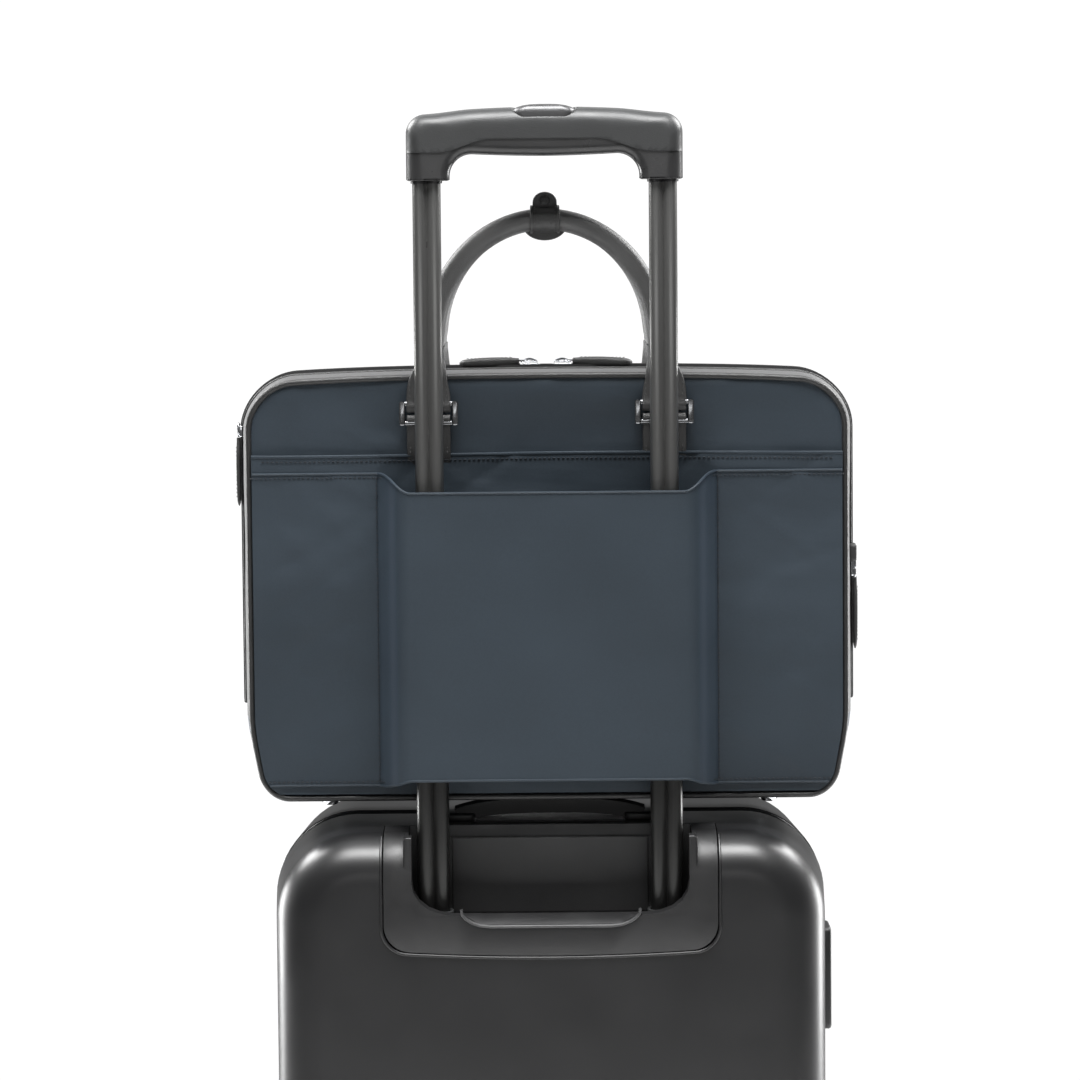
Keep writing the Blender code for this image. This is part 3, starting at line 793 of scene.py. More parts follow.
def open_shell(zip_y, face_y):
    mesh = closed_mesh("shell", *loft(shell_rings(zip_y, face_y), False, True))
    return facing_away(mesh, Vector((0, (zip_y + face_y) / 2, CASE_MIDDLE)))


def u_outline(half, bottom, top, radius, sag=0.0, steps=10):
    """An outline with two round lower corners, its lower edge sagging a little."""
    points = []
    for sign, start in ((-1, pi), (1, 3 * pi / 2)):
        centre = (sign * (half - radius), bottom + radius)
        for i in range(steps + 1):
            angle = start + pi / 2 * i / steps
            points.append((centre[0] + radius * cos(angle), centre[1] + radius * sin(angle)))
        if sign < 0:
            for k in range(1, 16):
                x = -(half - radius) + 2 * (half - radius) * k / 16
                points.append((x, bottom))
    points = [(x, z - sag * max(0.0, 1 - (x / half) ** 2)) for x, z in points]
    return points + [(half, top), (-half, top)]


def prism(outline, low_y, high_y):
    rings = [[(x, y, z) for x, z in outline] for y in (low_y, high_y)]
    return closed_mesh("prism", *loft(rings, True, True))


BEZEL_HALF = HOUSING_HIGH.x
BEZEL_BOTTOM = 0.4615
BEZEL_SAG = 0.0040
BEZEL_DEEP = HOUSING_HIGH.y - 0.001
BEZEL_RADIUS = 0.0165
RECESS_HALF = 0.094
RECESS_DEEP = -0.067
RECESS_FLOOR = 0.481
LIP_BACK = -0.1035  # the back of the lip in front of the recess


def bezel_prism(grow=0.0):
    outline = u_outline(
        BEZEL_HALF + grow, BEZEL_BOTTOM - grow, CASE_TOP + 0.03, BEZEL_RADIUS, BEZEL_SAG
    )
    return prism(outline, SHELL_LOW.y - 0.03, BEZEL_DEEP + grow)


def build_hard_shells():
    """Both shells, with the cut for the handle housing and the side handle's slots."""
    rear = thickened(open_shell(-ZIP_HALF, SHELL_LOW.y), SHELL_WALL, 1)
    rear.materials.append(MATERIALS["shell"])
    rear.materials.append(MATERIALS["lining"])
    rear = boolean(rear, bezel_prism(0.0008))
    low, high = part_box("side_carry_handle")
    for z in (low.z + 0.007, high.z - 0.007):
        y = (low.y + high.y) / 2
        rear = boolean(rear, box_mesh((0.15, y - 0.0078, z - 0.0056), (0.21, y + 0.0078, z + 0.0056)))
    finish_piece("rear_hard_shell", rear, [], "rear_case", ["rear_shell"])

    front = thickened(open_shell(ZIP_HALF, FRONT_HIGH.y), SHELL_WALL, 1)
    front.materials.append(MATERIALS["shell"])
    front.materials.append(MATERIALS["lining"])
    finish_piece("front_hard_shell", front, [], "front_case", ["front_shell"])


def rim_line(y, inset, steps=14):
    outline = rounded_rect(
        CASE_HALF - inset, (CASE_TOP - CASE_BOTTOM) / 2 - inset, CASE_CORNER - inset, steps, 14,
        CASE_LOWER_CORNER - inset,
    )
    return [Vector((u, y, CASE_MIDDLE + v)) for u, v in outline]


def strip_section(half_width, half_thick):
    """A flat section, wider than it is thick, with softened corners."""
    return rounded_rect(half_width, half_thick, half_thick * 0.9, 2)


def rim_strip(name, low_y, high_y, inset, material, body, thick=0.0012):
    """A band that follows the rim of the case between two depths."""
    y = (low_y + high_y) / 2
    half = (high_y - low_y) / 2
    outline = strip_section(thick, half)
    form = sweep(rim_line(y, inset), outline, closed=True)
    return finish_piece(name, form, [material], body)


def build_case_zip():
    """Two taped zip halves with their teeth, and lips on both shells."""
    zip_line = rim_line(0.0, 0.0026)
    rear = rim_strip("zip_tape_rear", -ZIP_HALF + 0.0002, -0.0004, 0.0034, "tape", "rear_case")
    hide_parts("zip_tape")
    front = rim_strip("zip_tape_front", 0.0004, ZIP_HALF - 0.0002, 0.0034, "tape", "front_case")
    for name, y, body in (("rear", -ZIP_HALF, "rear_case"), ("front", ZIP_HALF, "front_case")):
        bead = tube_along(rim_line(y, 0.0019), 0.0014, 8, closed=True)
        mesh = closed_mesh("rim", *bead)
        finish_piece(f"{name}_shell_rim", mesh, ["housing"], body)
    centre = Vector((0, 0, CASE_MIDDLE))
    for name, shift, body in (("rear", -0.0013, "rear_case"), ("front", 0.0013, "front_case")):
        line = []
        for point in zip_line + zip_line[:1]:
            up = Vector((point.x - centre.x, 0, point.z - centre.z)).normalized()
            line.append((point + Vector((0, shift, 0)), up))
        repeated(f"case_zip_teeth_{name}", [line], settings().tooth_pitch,
                 (0.0013, 0.0030, 0.0016), "tape", body)


def surface_bead(name, tree, line, lift, material):
    """A fine bead laid on the rear shell's back along a line of (x, z)."""
    points = []
    for x, z in line:
        hit, normal, _, _ = tree.ray_cast(Vector((x, SHELL_LOW.y - 0.05, z)), AWAY)
        if hit is not None:
            points.append(hit + normal * lift)
    finish_piece(name, tube_along(points, 0.0011, 10, -AWAY), [material], "rear_case")


def lip_outline():
    """The upper edge of the housing's lip: high at the sides, stepped down in the middle."""
    half = [
        (0.0914, CASE_TOP + 0.02), (0.0914, 0.5060), (0.0902, 0.4995), (0.0866, 0.4936),
        (0.0806, 0.4886), (0.0730, 0.4856), (0.0650, 0.4843), (0.0560, 0.4840),
    ]
    return [(-x, z) for x, z in half] + half[::-1]


def build_handle_housing():
    """The U-shaped bezel and the deep pocket that the grip drops into."""
    form = boolean(shell_solid(-ZIP_HALF, SHELL_LOW.y, 0.0009),
                   shell_solid(-ZIP_HALF + 0.002, SHELL_LOW.y, -0.0026))
    form = boolean(form, bezel_prism(), "INTERSECT")
    wall = 0.0028
    low = (-RECESS_HALF - wall, SHELL_LOW.y + 0.0012, RECESS_FLOOR - 0.003 - wall)
    high = (RECESS_HALF + wall, RECESS_DEEP + wall, CASE_TOP - 0.0004)
    form = boolean(form, box_mesh(low, high, 0.0012), "UNION")
    form = boolean(form, prism(lip_outline(), SHELL_LOW.y - 0.03, RECESS_DEEP))
    inner = u_outline(RECESS_HALF - 0.0004, RECESS_FLOOR - 0.003, CASE_TOP + 0.02, 0.010)
    form = boolean(form, prism(inner, LIP_BACK, RECESS_DEEP))
    front = [(-0.0590, 0.52), (-0.0590, 0.4848), (-0.0470, 0.4772), (0.0470, 0.4772),
             (0.0590, 0.4848), (0.0590, 0.52)]
    back = [(x * 0.95, z + 0.0068) for x, z in front]
    ledge = box_mesh((-0.084, RECESS_DEEP - 0.002, 0.5290), (0.084, RECESS_DEEP + 0.0016, 0.56),
                     0.0005, 2)
    form = boolean(form, ledge)
    rings = [[(x, y, z) for x, z in outline]
             for outline, y in ((front, SHELL_LOW.y - 0.004), (back, LIP_BACK + 0.0005))]
    form = boolean(form, closed_mesh("notch", *loft(rings, True, True)))
    for _, side in SIDES:
        x = side * TUBE_X
        hole = box_mesh((x - 0.0113, TUBE_Y - 0.0078, 0.46), (x + 0.0113, TUBE_Y + 0.0078, 0.50),
                        0.003, axis=2)
        form = boolean(form, hole)
    form = bevelled(form, 0.0010, 2, 38.0)
    finish_piece("handle_bezel", form, ["housing"], "rear_case", ["handle_housing"], 32.0)

    solid = shell_solid(-ZIP_HALF, SHELL_LOW.y)
    bm = bmesh.new()
    bm.from_mesh(solid)
    tree = BVHTree.FromBMesh(bm)
    bm.free()
    outline = u_outline(BEZEL_HALF + 0.0016, BEZEL_BOTTOM - 0.0016, 0.530, BEZEL_RADIUS, BEZEL_SAG, 14)
    line = [(-BEZEL_HALF - 0.0016, z) for z in (0.5335, 0.525, 0.515, 0.505, 0.495)]
    line += outline[:-2]
    line += [(BEZEL_HALF + 0.0016, z) for z in (0.495, 0.505, 0.515, 0.525, 0.5335)]
    surface_bead("bezel_edge_bead", tree, line, 0.0001, "shell")
    notch = [(-0.0588, 0.4885), (-0.0585, 0.4850), (-0.0560, 0.4822), (-0.0520, 0.4797),
             (-0.0470, 0.4778), (-0.0400, 0.4770)]
    notch += [(-x, z) for x, z in reversed(notch)]
    # The lip bead and the panel below take the light grey well colour: a painted highlight along the lip
    # and painted light on the well's back wall.
    surface_bead("lip_edge_bead", tree, notch, 0.0008, "liner")
    liner = box_mesh((-0.0655, RECESS_DEEP - 0.0012, RECESS_FLOOR - 0.0026),
                     (0.0655, RECESS_DEEP + 0.0003, 0.5285), 0.0006, 3)
    finish_piece("recess_liner", liner, ["liner"], "rear_case")
    for name, side in SIDES:
        x = side * TUBE_X
        collar = lobed_tube(x, 0.0262, 0.0190, RECESS_FLOOR - 0.0003, RECESS_FLOOR + 0.0032, 0.0021)
        finish_piece(f"tube_collar_{name}", bevelled(collar, 0.0006), ["grip"], "rear_case")


# --- the telescopic handle ---


def lobed_outline(width, depth, groove=0.0028, count=72):
    """Two rounded lobes side by side with a groove drawn in between them."""
    points = []
    for i in range(count):
        angle = 2 * pi * i / count
        x = width / 2 * cos(angle)
        share = (abs(x) - width / 4) / (width / 4)
        if share > 0:
            y = depth / 2 * max(0.0, 1 - share ** 2.5) ** 0.42
        else:
            y = depth / 2 - groove * abs(share) ** 2.2
        points.append((x, y if sin(angle) >= 0 else -y))
    return points


def lobed_tube(x, width, depth, low_z, high_z, wall):
    outer = lobed_outline(width, depth)
    inner = lobed_outline(width - 2 * wall, depth - 2 * wall)

    def ring(points, z):
        return [(x + u, TUBE_Y + v, z) for u, v in points]

    rings = [ring(outer, low_z), ring(outer, high_z), ring(inner, high_z), ring(inner, low_z)]
    rings.append(rings[0])
    return closed_mesh("tube", *loft(rings))


def build_telescopic_tubes():
    """Two stages of lobed tube on each side, with sleeves where they slide."""
    for name, side in SIDES:
        x = side * TUBE_X
        inner = lobed_tube(x, INNER_HIGH.x - INNER_LOW.x, INNER_HIGH.y - INNER_LOW.y,
                           INNER_LOW.z, GRIP_LOW.z + 0.0055, 0.0012)
        finish_piece(f"upper_tube_{name}", bevelled(inner, 0.0003), ["tube"], "top_stage",
                     [f"inner_tube_{name}"])
        # The lower and guide tubes take the darker copy of the tube finish: painted shade.
        middle = lobed_tube(x, MIDDLE_HIGH.x - MIDDLE_LOW.x, MIDDLE_HIGH.y - MIDDLE_LOW.y,
                            MIDDLE_LOW.z, MIDDLE_HIGH.z, 0.0011)
        finish_piece(f"lower_tube_{name}", bevelled(middle, 0.0003), ["tube_dark"], "middle_stage",
                     [f"middle_tube_{name}"])
        low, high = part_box(f"outer_tube_{name}")
        outer = lobed_tube(x, high.x - low.x, high.y - low.y, low.z, high.z, 0.0010)
        finish_piece(f"guide_tube_{name}", outer, ["tube_dark"], "rear_case",
                     [f"outer_tube_{name}"])
    pin_z = 0.9245
    pin = lathe([(0.0, 0.0006), (0.0020, 0.0006), (0.0024, 0.0), (0.0024, -0.0006), (0.0, -0.0006)],
                (-TUBE_X, INNER_LOW.y + 0.0031, pin_z), -AWAY, 20)
    finish_piece("locking_pin", pin, ["housing"], "top_stage")


BUTTON_BACK = 0.0028  # the button sits this far behind the middle of the grip
BUTTON_TOP = 1.01545


def grip_ladder():
    """Matching points on the grip's inner and outer edge, from foot to foot."""
    half, leg_inner = COVER_HIGH.x, 0.0622
    top, low = COVER_HIGH.z - 0.0002, GRIP_LOW.z
    under = GRIP_LOW.z + 0.0172
    outer_radius, inner_radius = 0.0125, 0.0145
    drop, bow = 0.0046, 0.0014
    pairs = []
    spring = under - inner_radius
    for k in range(5):
        z = low + (spring - low) * k / 4
        pairs.append(((-leg_inner, z), (-half, z)))
    shoulder = top - drop
    path = [(-half, spring + (shoulder - outer_radius - spring) * k / 10) for k in range(11)]
    for k in range(1, 13):
        angle = pi - pi / 2 * k / 12
        path.append((-half + outer_radius + outer_radius * cos(angle),
                     shoulder - outer_radius + outer_radius * sin(angle)))
    inner_end = -leg_inner + inner_radius
    start = path[-1][0]
    path += [(start + (inner_end - start) * k / 10, shoulder) for k in range(1, 11)]
    steps = 24
    for k in range(1, steps + 1):
        angle = pi - pi / 2 * k / steps
        near = (-leg_inner + inner_radius + inner_radius * cos(angle),
                spring + inner_radius * sin(angle))
        place = k / steps * (len(path) - 1)
        index = min(int(place), len(path) - 2)
        (x0, z0), (x1, z1) = path[index], path[index + 1]
        share = place - index
        x = x0 + (x1 - x0) * share
        crown = drop * (1 - (x / half) ** 2) * ease(x, -half, inner_end)
        pairs.append((near, (x, z0 + (z1 - z0) * share + crown)))
    for k in range(1, 17):
        x = inner_end * (1 - k / 16)
        pairs.append(((x, under - bow * cos(pi / 2 * x / inner_end)),
                      (x, shoulder + drop * (1 - (x / half) ** 2))))
    mirrored = [((-a[0], a[1]), (-b[0], b[1])) for a, b in pairs[-2::-1]]
    return pairs + mirrored


def grip_solid(inset=0.0):
    """The grip as a solid: rounded sections carried along its ladder of edges."""
    low_y, high_y = COVER_LOW.y + inset, COVER_HIGH.y - inset
    centre_y, half_y = (low_y + high_y) / 2, (high_y - low_y) / 2
    rings = []
    ladder = grip_ladder()

    def ring_between(inner, outer, shrink, lift):
        a = Vector((inner[0], 0, inner[1] + lift))
        b = Vector((outer[0], 0, outer[1] + lift))
        middle, half = (a + b) / 2, (b - a) / 2
        length = half.length
        points = []
        section = rounded_rect(half_y - shrink, length - shrink, 0.0116 - shrink, 9, 5, 0.0064 - shrink)
        for v, u in section:
            points.append(middle + half * (u / length) + Vector((0, centre_y + v, 0)))
        return points

    for shrink, lift in ((0.0016, 0.0), (0.0006, 0.0004), (0.0, 0.0014)):
        rings.append(ring_between(*ladder[0], shrink, lift))
    for inner, outer in ladder[1:-1]:
        rings.append(ring_between(inner, outer, 0.0, 0.0))
    for shrink, lift in ((0.0, 0.0014), (0.0006, 0.0004), (0.0016, 0.0)):
        rings.append(ring_between(*ladder[-1], shrink, lift))
    return closed_mesh("grip", *loft(rings, True, True))


def parting_height(x):
    """Where the grip's cover meets its lower half: low on the legs, high over the hand."""
    return 0.9842 + 0.0086 * (1 - ease(abs(x), 0.034, 0.070))


def parting_prism(above):
    steps = 60
    line = [(-0.10 + 0.20 * i / steps) for i in range(steps + 1)]
    gap = 0.00004
    if above:
        outline = [(x, parting_height(x) + gap) for x in line] + [(0.10, 1.05), (-0.10, 1.05)]
    else:
        outline = [(x, parting_height(x) - gap) for x in line] + [(0.10, 0.93), (-0.10, 0.93)]
        outline = outline[::-1]
    return prism(outline, -0.13, -0.05)


def build_grip():
    """The grip's cover and lower half, the button's well and the button."""
    low_y, high_y = COVER_LOW.y, COVER_HIGH.y
    y = (low_y + high_y) / 2 - BUTTON_BACK
    well = cushion_block(rounded_rect(0.0222, 0.0091, 0.0090, 12), -0.02, 0.02, 0.0005, 1,
                         lambda u, w, v: (u, y + v, 1.0230 + w))
    cover = boolean(grip_solid(), parting_prism(True), "INTERSECT")
    cover = boolean(cover, closed_mesh("well", *well))
    finish_piece("grip_cover", bevelled(cover, 0.0005, 2, 50.0), ["grip"], "top_stage",
                 ["grip_upper"])
    lower = boolean(grip_solid(0.0007), parting_prism(False), "INTERSECT")
    finish_piece("grip_underside", lower, ["grip_dark"], "top_stage", ["grip_lower"])
    rings = []
    top = BUTTON_TOP
    for radius, z in ((1.0, 1.0059), (1.0, 1.0088), (0.985, 1.0104), (0.95, 1.0118),
                      (0.86, 1.0134), (0.66, top - 0.0008), (0.45, top - 0.0002), (0.22, top),
                      (0.02, top)):
        oval = rounded_rect(0.0210 * radius, 0.0083 * radius, 0.0082 * radius, 12)
        rings.append([(u, y + v, z) for u, v in oval])
    finish_piece("release_button", loft(rings, True, True), ["button"],
                 "push_button", ["push_button"])
    for name, side in SIDES:
        x = side * TUBE_X
        skirt = lobed_tube(x, 0.0206, 0.0138, GRIP_LOW.z - 0.0016, GRIP_LOW.z + 0.002, 0.0009)
        finish_piece(f"grip_skirt_{name}", skirt, ["housing"], "top_stage")


# --- carry handles and lock ---


def build_carry_handles():
    """The low top handle, the sprung side handle and the lock."""
    low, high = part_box("top_carry_handle")
    y = (low.y + high.y) / 2
    half = high.x
    line = []
    for i in range(41):
        x = -half + 2 * half * i / 40
        rise = 0.0066 * max(0.0, 1 - abs(x / half) ** 3.2)
        line.append((x, y, CASE_TOP + 0.0031 + rise))
    flat = strip_section(0.0028, 0.0085)
    bar = sweep(line, flat)
    finish_piece("top_handle_strap", bar, ["housing"], "rear_case", ["top_carry_handle"])
    # A thin dark matt patch on the case top under the top handle: painted shade for the dark gap under the
    # laptop case.
    shade_patch = box_mesh((-half + 0.012, low.y - 0.012, CASE_TOP - 0.0010),
                   (half - 0.012, 0.012, CASE_TOP + 0.0008), 0.0007, 2, 2)
    finish_piece("top_handle_painted_shade", shade_patch, ["tape"], "rear_case")
    for name, side in SIDES:
        x = side * half
        foot = box_mesh((x - 0.013, y - 0.012, CASE_TOP - 0.001),
                        (x + 0.013, y + 0.012, CASE_TOP + 0.0052), 0.0022, 4, 2)
        finish_piece(f"top_handle_foot_{name}", foot, ["housing"], "rear_case")

    low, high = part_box("side_carry_handle")
    y = (low.y + high.y) / 2
    middle_z, half_z = (low.z + high.z) / 2, (high.z - low.z) / 2 - 0.001
    line = []
    for i in range(49):
        z = -half_z + 0.0075 + 2 * (half_z - 0.0075) * i / 48
        line.append((high.x - 0.0024, y, middle_z + z))
    bar_section = rounded_rect(0.0021, 0.0094, 0.0019, 3)
    bar = sweep(line, bar_section)
    ends = [[(low.x + 0.001, y, middle_z + side * (half_z - 0.0072)),
             (high.x - 0.0020, y, middle_z + side * (half_z - 0.0072))] for side in (-1, 1)]
    leg_section = rounded_rect(0.0046, 0.0068, 0.0015, 3)
    legs = [sweep(end, leg_section) for end in ends]
    form = joined([bar] + legs)
    finish_piece("side_handle_bar", form, ["housing"],
                 "side_carry_handle", ["side_carry_handle"])
    for name, side in (("low", -1), ("high", 1)):
        z = middle_z + side * (half_z - 0.0072)
        hole = rounded_rect(0.0082, 0.0056, 0.002, 4)
        plate = rounded_rect(0.0125, 0.0105, 0.005, 4)
        steps = ((0.1852, hole), (0.1884, hole), (0.1886, inset_outline(plate, 0.001)),
                 (0.1878, plate), (0.1846, plate))
        rings = [[(x, y + u, z + v) for u, v in ring] for x, ring in steps]
        rings.append(rings[0])
        finish_piece(f"side_handle_plate_{name}", loft(rings), ["housing"], "rear_case")

    low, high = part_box("lock_housing")
    body = box_mesh((CASE_HALF - 0.0075, low.y, low.z), (high.x, high.y, high.z), 0.0022, 5, 0)
    slot_cut = box_mesh((high.x - 0.0012, low.y + 0.006, low.z + 0.008),
                        (high.x + 0.01, high.y - 0.006, low.z + 0.036), 0.001, 3, 0)
    finish_piece("lock_case", boolean(body, slot_cut), ["housing"], "rear_case",
                 ["lock_housing"])
    y = (low.y + high.y) / 2
    dials = []
    for i in range(3):
        z = low.z + 0.014 + i * 0.0085
        profile = [(0.0, 0.0028), (0.0052, 0.0028), (0.0058, 0.0022), (0.0058, -0.0022),
                   (0.0052, -0.0028), (0.0, -0.0028)]
        dials.append(lathe(profile, (high.x - 0.0050, y, z), UP, 30))
    finish_piece("lock_dials", joined(dials), ["button"], "rear_case")
    key = lathe([(0.0, 0.0004), (0.0036, 0.0004), (0.0042, 0.0), (0.0042, -0.002), (0.0, -0.002)],
                (high.x, y, high.z - 0.014), ACROSS, 28)
    finish_piece("lock_keyhole", key, ["metal"], "rear_case")


# --- casters ---


def build_casters():
    """Corner mouldings, forks and twin-tread wheels; the axles are carried over."""
    for label, row, side in CORNERS:
        base = f"{row}_case"
        low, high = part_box(f"caster_housing_{label}")
        face = SHELL_LOW.y if row == "rear" else FRONT_HIGH.y
        zip_y = -ZIP_HALF if row == "rear" else ZIP_HALF
        reach = box_mesh(low - Vector((0.01, 0.01, 0)), high + Vector((0.01, 0.01, 0)), 0.006, 5, 2)
        form = boolean(shell_solid(zip_y, face, 0.0032), reach, "INTERSECT")
        form = boolean(form, shell_solid(zip_y, face, 0.0002))
        outer_x = min(abs(low.x), abs(high.x))
        inner_y = min(abs(low.y), abs(high.y))
        front = 1 if face > 0 else -1
        keep_x = sorted((side * outer_x, side * 0.25))
        keep_y = sorted((front * inner_y, front * 0.2))
        keep = box_mesh((keep_x[0], keep_y[0], 0.0), (keep_x[1], keep_y[1], high.z), 0.008, 6, 1)
        form = boolean(form, keep, "INTERSECT")
        seat = [(0.0, 0.0060), (0.0165, 0.0060), (0.0165, 0.0008), (0.0158, 0.0), (0.0, 0.0)]
        pad = lathe(seat, (side * CASTER_X, front * CASTER_Y, low.z), UP, 36)
        form = boolean(form, closed_mesh("pad", *pad), "UNION")
        finish_piece(f"corner_moulding_{label}", form, ["housing"], base,
                     [f"caster_housing_{label}"], 40.0)
        wheel_low, wheel_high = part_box(f"wheel_{label}")
        centre = (wheel_low + wheel_high) / 2
        radius = (wheel_high.z - wheel_low.z) / 2
        half = (wheel_high.x - wheel_low.x) / 2
        build_wheel(label, centre, radius, half)
        build_fork(label, centre, half)
        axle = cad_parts[f"wheel_axle_{label}"]
        axle.data.materials.clear()
        axle.data.materials.append(MATERIALS["bright"])


def mirrored_profile(side, middle=()):
    """A closed lathe profile from the half on one side of the wheel's middle plane."""
    profile = side + list(middle) + [(r, -d) for r, d in reversed(side)]
    return profile + profile[:1]


def build_wheel(label, centre, radius, half):
    """A soft tyre with a groove round its middle, on a core with spokes on both faces."""
    hub = radius * 0.72
    tread = mirrored_profile([
        (hub, half - 0.0008), (hub + 0.0012, half), (radius - 0.0030, half),
        (radius - 0.0010, half - 0.0012), (radius, half - 0.0034), (radius, 0.0012),
    ], [(radius - 0.0009, 0.0)])
    finish_piece(f"tread_{label}", lathe(tread, centre, ACROSS, 56), ["tyre"], f"wheel_{label}",
                 [f"wheel_{label}"])
    core = mirrored_profile([
        (0.0030, half - 0.0005), (0.0062, half - 0.0005), (0.0068, half - 0.0022),
        (hub - 0.0018, half - 0.0022), (hub - 0.0010, half - 0.0004), (hub, half - 0.0008),
    ])
    parts = [lathe(core, centre, ACROSS, 48)]
    count = settings().wheel_spokes
    for i in range(count):
        angle = 2 * pi * i / count
        for face in (-1, 1):
            x = centre.x + face * (half - 0.0020)
            line = [(x, centre.y + r * cos(angle), centre.z + r * sin(angle))
                    for r in (0.006, 0.009, hub - 0.001)]
            parts.append(tube_along(line, 0.0011, 8, ACROSS))
    finish_piece(f"wheel_core_{label}", joined(parts), ["housing"], f"wheel_{label}")


def build_fork(label, centre, half):
    """Two legs, a bridge, the swivel plate with its stem, and the axle's caps."""
    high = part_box(f"caster_fork_{label}")[1]
    stem_y = centre.y + 0.012
    crown = 0.0424
    inner, outer = half + 0.0007, high.x - centre.x
    parts = []
    for side in (-1, 1):
        x_low, x_high = sorted((centre.x + side * inner, centre.x + side * outer))
        outline = []
        for i in range(13):
            angle = pi + pi * i / 12
            outline.append((centre.y + 0.0078 * cos(angle), centre.z + 0.0078 * sin(angle)))
        outline += [(stem_y + 0.0105, 0.0300), (stem_y + 0.0120, 0.0355),
                    (stem_y + 0.0118, crown - 0.0012), (centre.y - 0.0070, crown - 0.0012)]
        parts.append(cushion_block(outline, x_low, x_high, 0.0008, 3, lambda u, w, v: (w, u, v)))
    plate = [(0.0, crown), (0.0118, crown), (0.0128, crown - 0.0008), (0.0128, crown - 0.0020),
             (0.0118, crown - 0.0026), (0.0, crown - 0.0026)]
    parts.append(lathe([(r, z - crown) for r, z in plate], (centre.x, stem_y, crown), UP, 40))
    bridge = rounded_rect(outer, 0.0110, 0.004, 4)
    rings = [[(centre.x + u, (centre.y + stem_y) / 2 + v + 0.001, z) for u, v in bridge]
             for z in (crown - 0.0026, crown - 0.0008)]
    parts.append(loft(rings, True, True))
    stem = [(0.0, 0.0044), (0.0036, 0.0044), (0.0038, 0.0040), (0.0038, -0.0006), (0.0, -0.0006)]
    parts.append(lathe(stem, (centre.x, stem_y, crown), UP, 28))
    for side in (-1, 1):
        cap = [(0.0028, 0.0007), (0.0050, 0.0006), (0.0056, 0.0), (0.0028, 0.0)]
        parts.append(lathe(cap + cap[:1], (centre.x + side * outer, centre.y, centre.z), (side, 0, 0), 28))
    finish_piece(f"fork_{label}", joined(parts), ["housing"],
                 f"caster_{label}", [f"caster_fork_{label}"])


# --- the laptop case: outline and walls ---

BAG_CENTRE = 0.6985
PANEL_HALF = 0.1966
PANEL_TOP = 0.8335
PANEL_BOTTOM = 0.5573
PANEL_MIDDLE = (PANEL_TOP + PANEL_BOTTOM) / 2
PANEL_CORNER = 0.0290
PANEL_LOW_CORNER = 0.0160
PANEL_INSET = 0.0012  # the panel's edge lies this far inside its piping
ZIP_GAP = 0.0006
TRIM_LOW = 0.6100  # the dark side band ends here
GUSSET = 0.0074


def taper_at(z, grow=0.0):
    """How far each side leans in near the bottom."""
    return (0.0075 + 0.0030 * grow / GUSSET) * ease(-z, -0.613, -0.552)


def bag_outline(grow, steps=16, side=26):
    """The laptop case seen from the back, from its panel's edge outwards by grow."""
    half_z = (PANEL_TOP - PANEL_BOTTOM) / 2
    points = []
    outline = rounded_rect(PANEL_HALF + grow, half_z + grow, PANEL_CORNER + grow, steps, side,
                           PANEL_LOW_CORNER + grow)
    for u, v in outline:
        share = u / (PANEL_HALF + grow)
        crown = ease(v / (half_z + grow), 0.3, 1.0)
        z = PANEL_MIDDLE + v
        z += crown * (0.0030 * (1 - share ** 2) - 0.0030 * abs(share) ** 5 - 0.45 * max(grow, 0.0))
        points.append((u - share * taper_at(z, grow), z))
    return points


def gusset_bulge(depth_share):
    """How far the side band stands out past the panels, from back (0) to front (1)."""
    return GUSSET * (1 - abs(2 * depth_share - 1) ** 2.6)


def bag_grow(y):
    return gusset_bulge((y - BAG_BACK) / (BAG_FRONT - BAG_BACK))


def cloth_wave(x, z):
    """Broad soft waves with a few slanting creases, shared by the layers on the back."""
    depth = settings().wrinkle_depth
    wave = soft_noise(x, 0.0, z, 13.0, 1.7) * 0.6 + soft_noise(x * 0.8, 0.0, z * 1.7, 34.0, 5.1) * 0.3
    slant = soft_noise(0.5 * (x + z), 0.0, 1.9 * (z - 0.7 * x), 11.0, 7.3)
    other = soft_noise(0.5 * (x - z), 1.0, 1.9 * (z + 0.8 * x), 9.0, 2.9)
    crease = max(0.0, 1 - 5.0 * abs(slant)) ** 2 - 0.8 * max(0.0, 1 - 5.0 * abs(other)) ** 2
    edge = min(1.0, max(0.0, (PANEL_HALF - abs(x)) / 0.025))
    return depth * (wave + 0.42 * crease) * (0.25 + 0.75 * edge)


def back_panel_y(x, z):
    """The soft back panel: it sinks a little behind the pocket's mouth, and wrinkles."""
    sunk = 0.0034 * ease(-z, -0.832, -0.796) * (0.75 + 0.25 * cos(x * 24))
    edge = min(1.0, max(0.0, (PANEL_HALF - abs(x)) / 0.025))
    return BAG_BACK + 0.0010 + sunk * edge + cloth_wave(x, z)


def front_panel_y(x, z):
    depth = settings().wrinkle_depth
    share_x = min(1.0, abs(x) / PANEL_HALF)
    share_z = min(1.0, abs(z - BAG_CENTRE) / 0.139)
    crown = 0.0030 * (1 - share_x ** 4) * (1 - share_z ** 4)
    wave = soft_noise(x, 3.0, z, 12.0, 9.3) + soft_noise(x, 3.0, z * 1.6, 30.0, 2.2) * 0.4
    return BAG_FRONT - 0.0026 + crown + depth * wave * 0.5


def panel_rings(outline, surface):
    """Rings from a panel's edge to its middle, laid on a surface."""
    rings = []
    count = 34
    for k in range(count + 1):
        share = 1 - (k / (count + 0.5)) ** 0.9
        ring = []
        for x, z in outline:
            px, pz = x * share, BAG_CENTRE + (z - BAG_CENTRE) * share
            ring.append((px, surface(px, pz), pz))
        rings.append(ring)
    return rings


def is_trim(point):
    """The side band is dark above the ends of the zip, and navy below them."""
    return point.z > TRIM_LOW


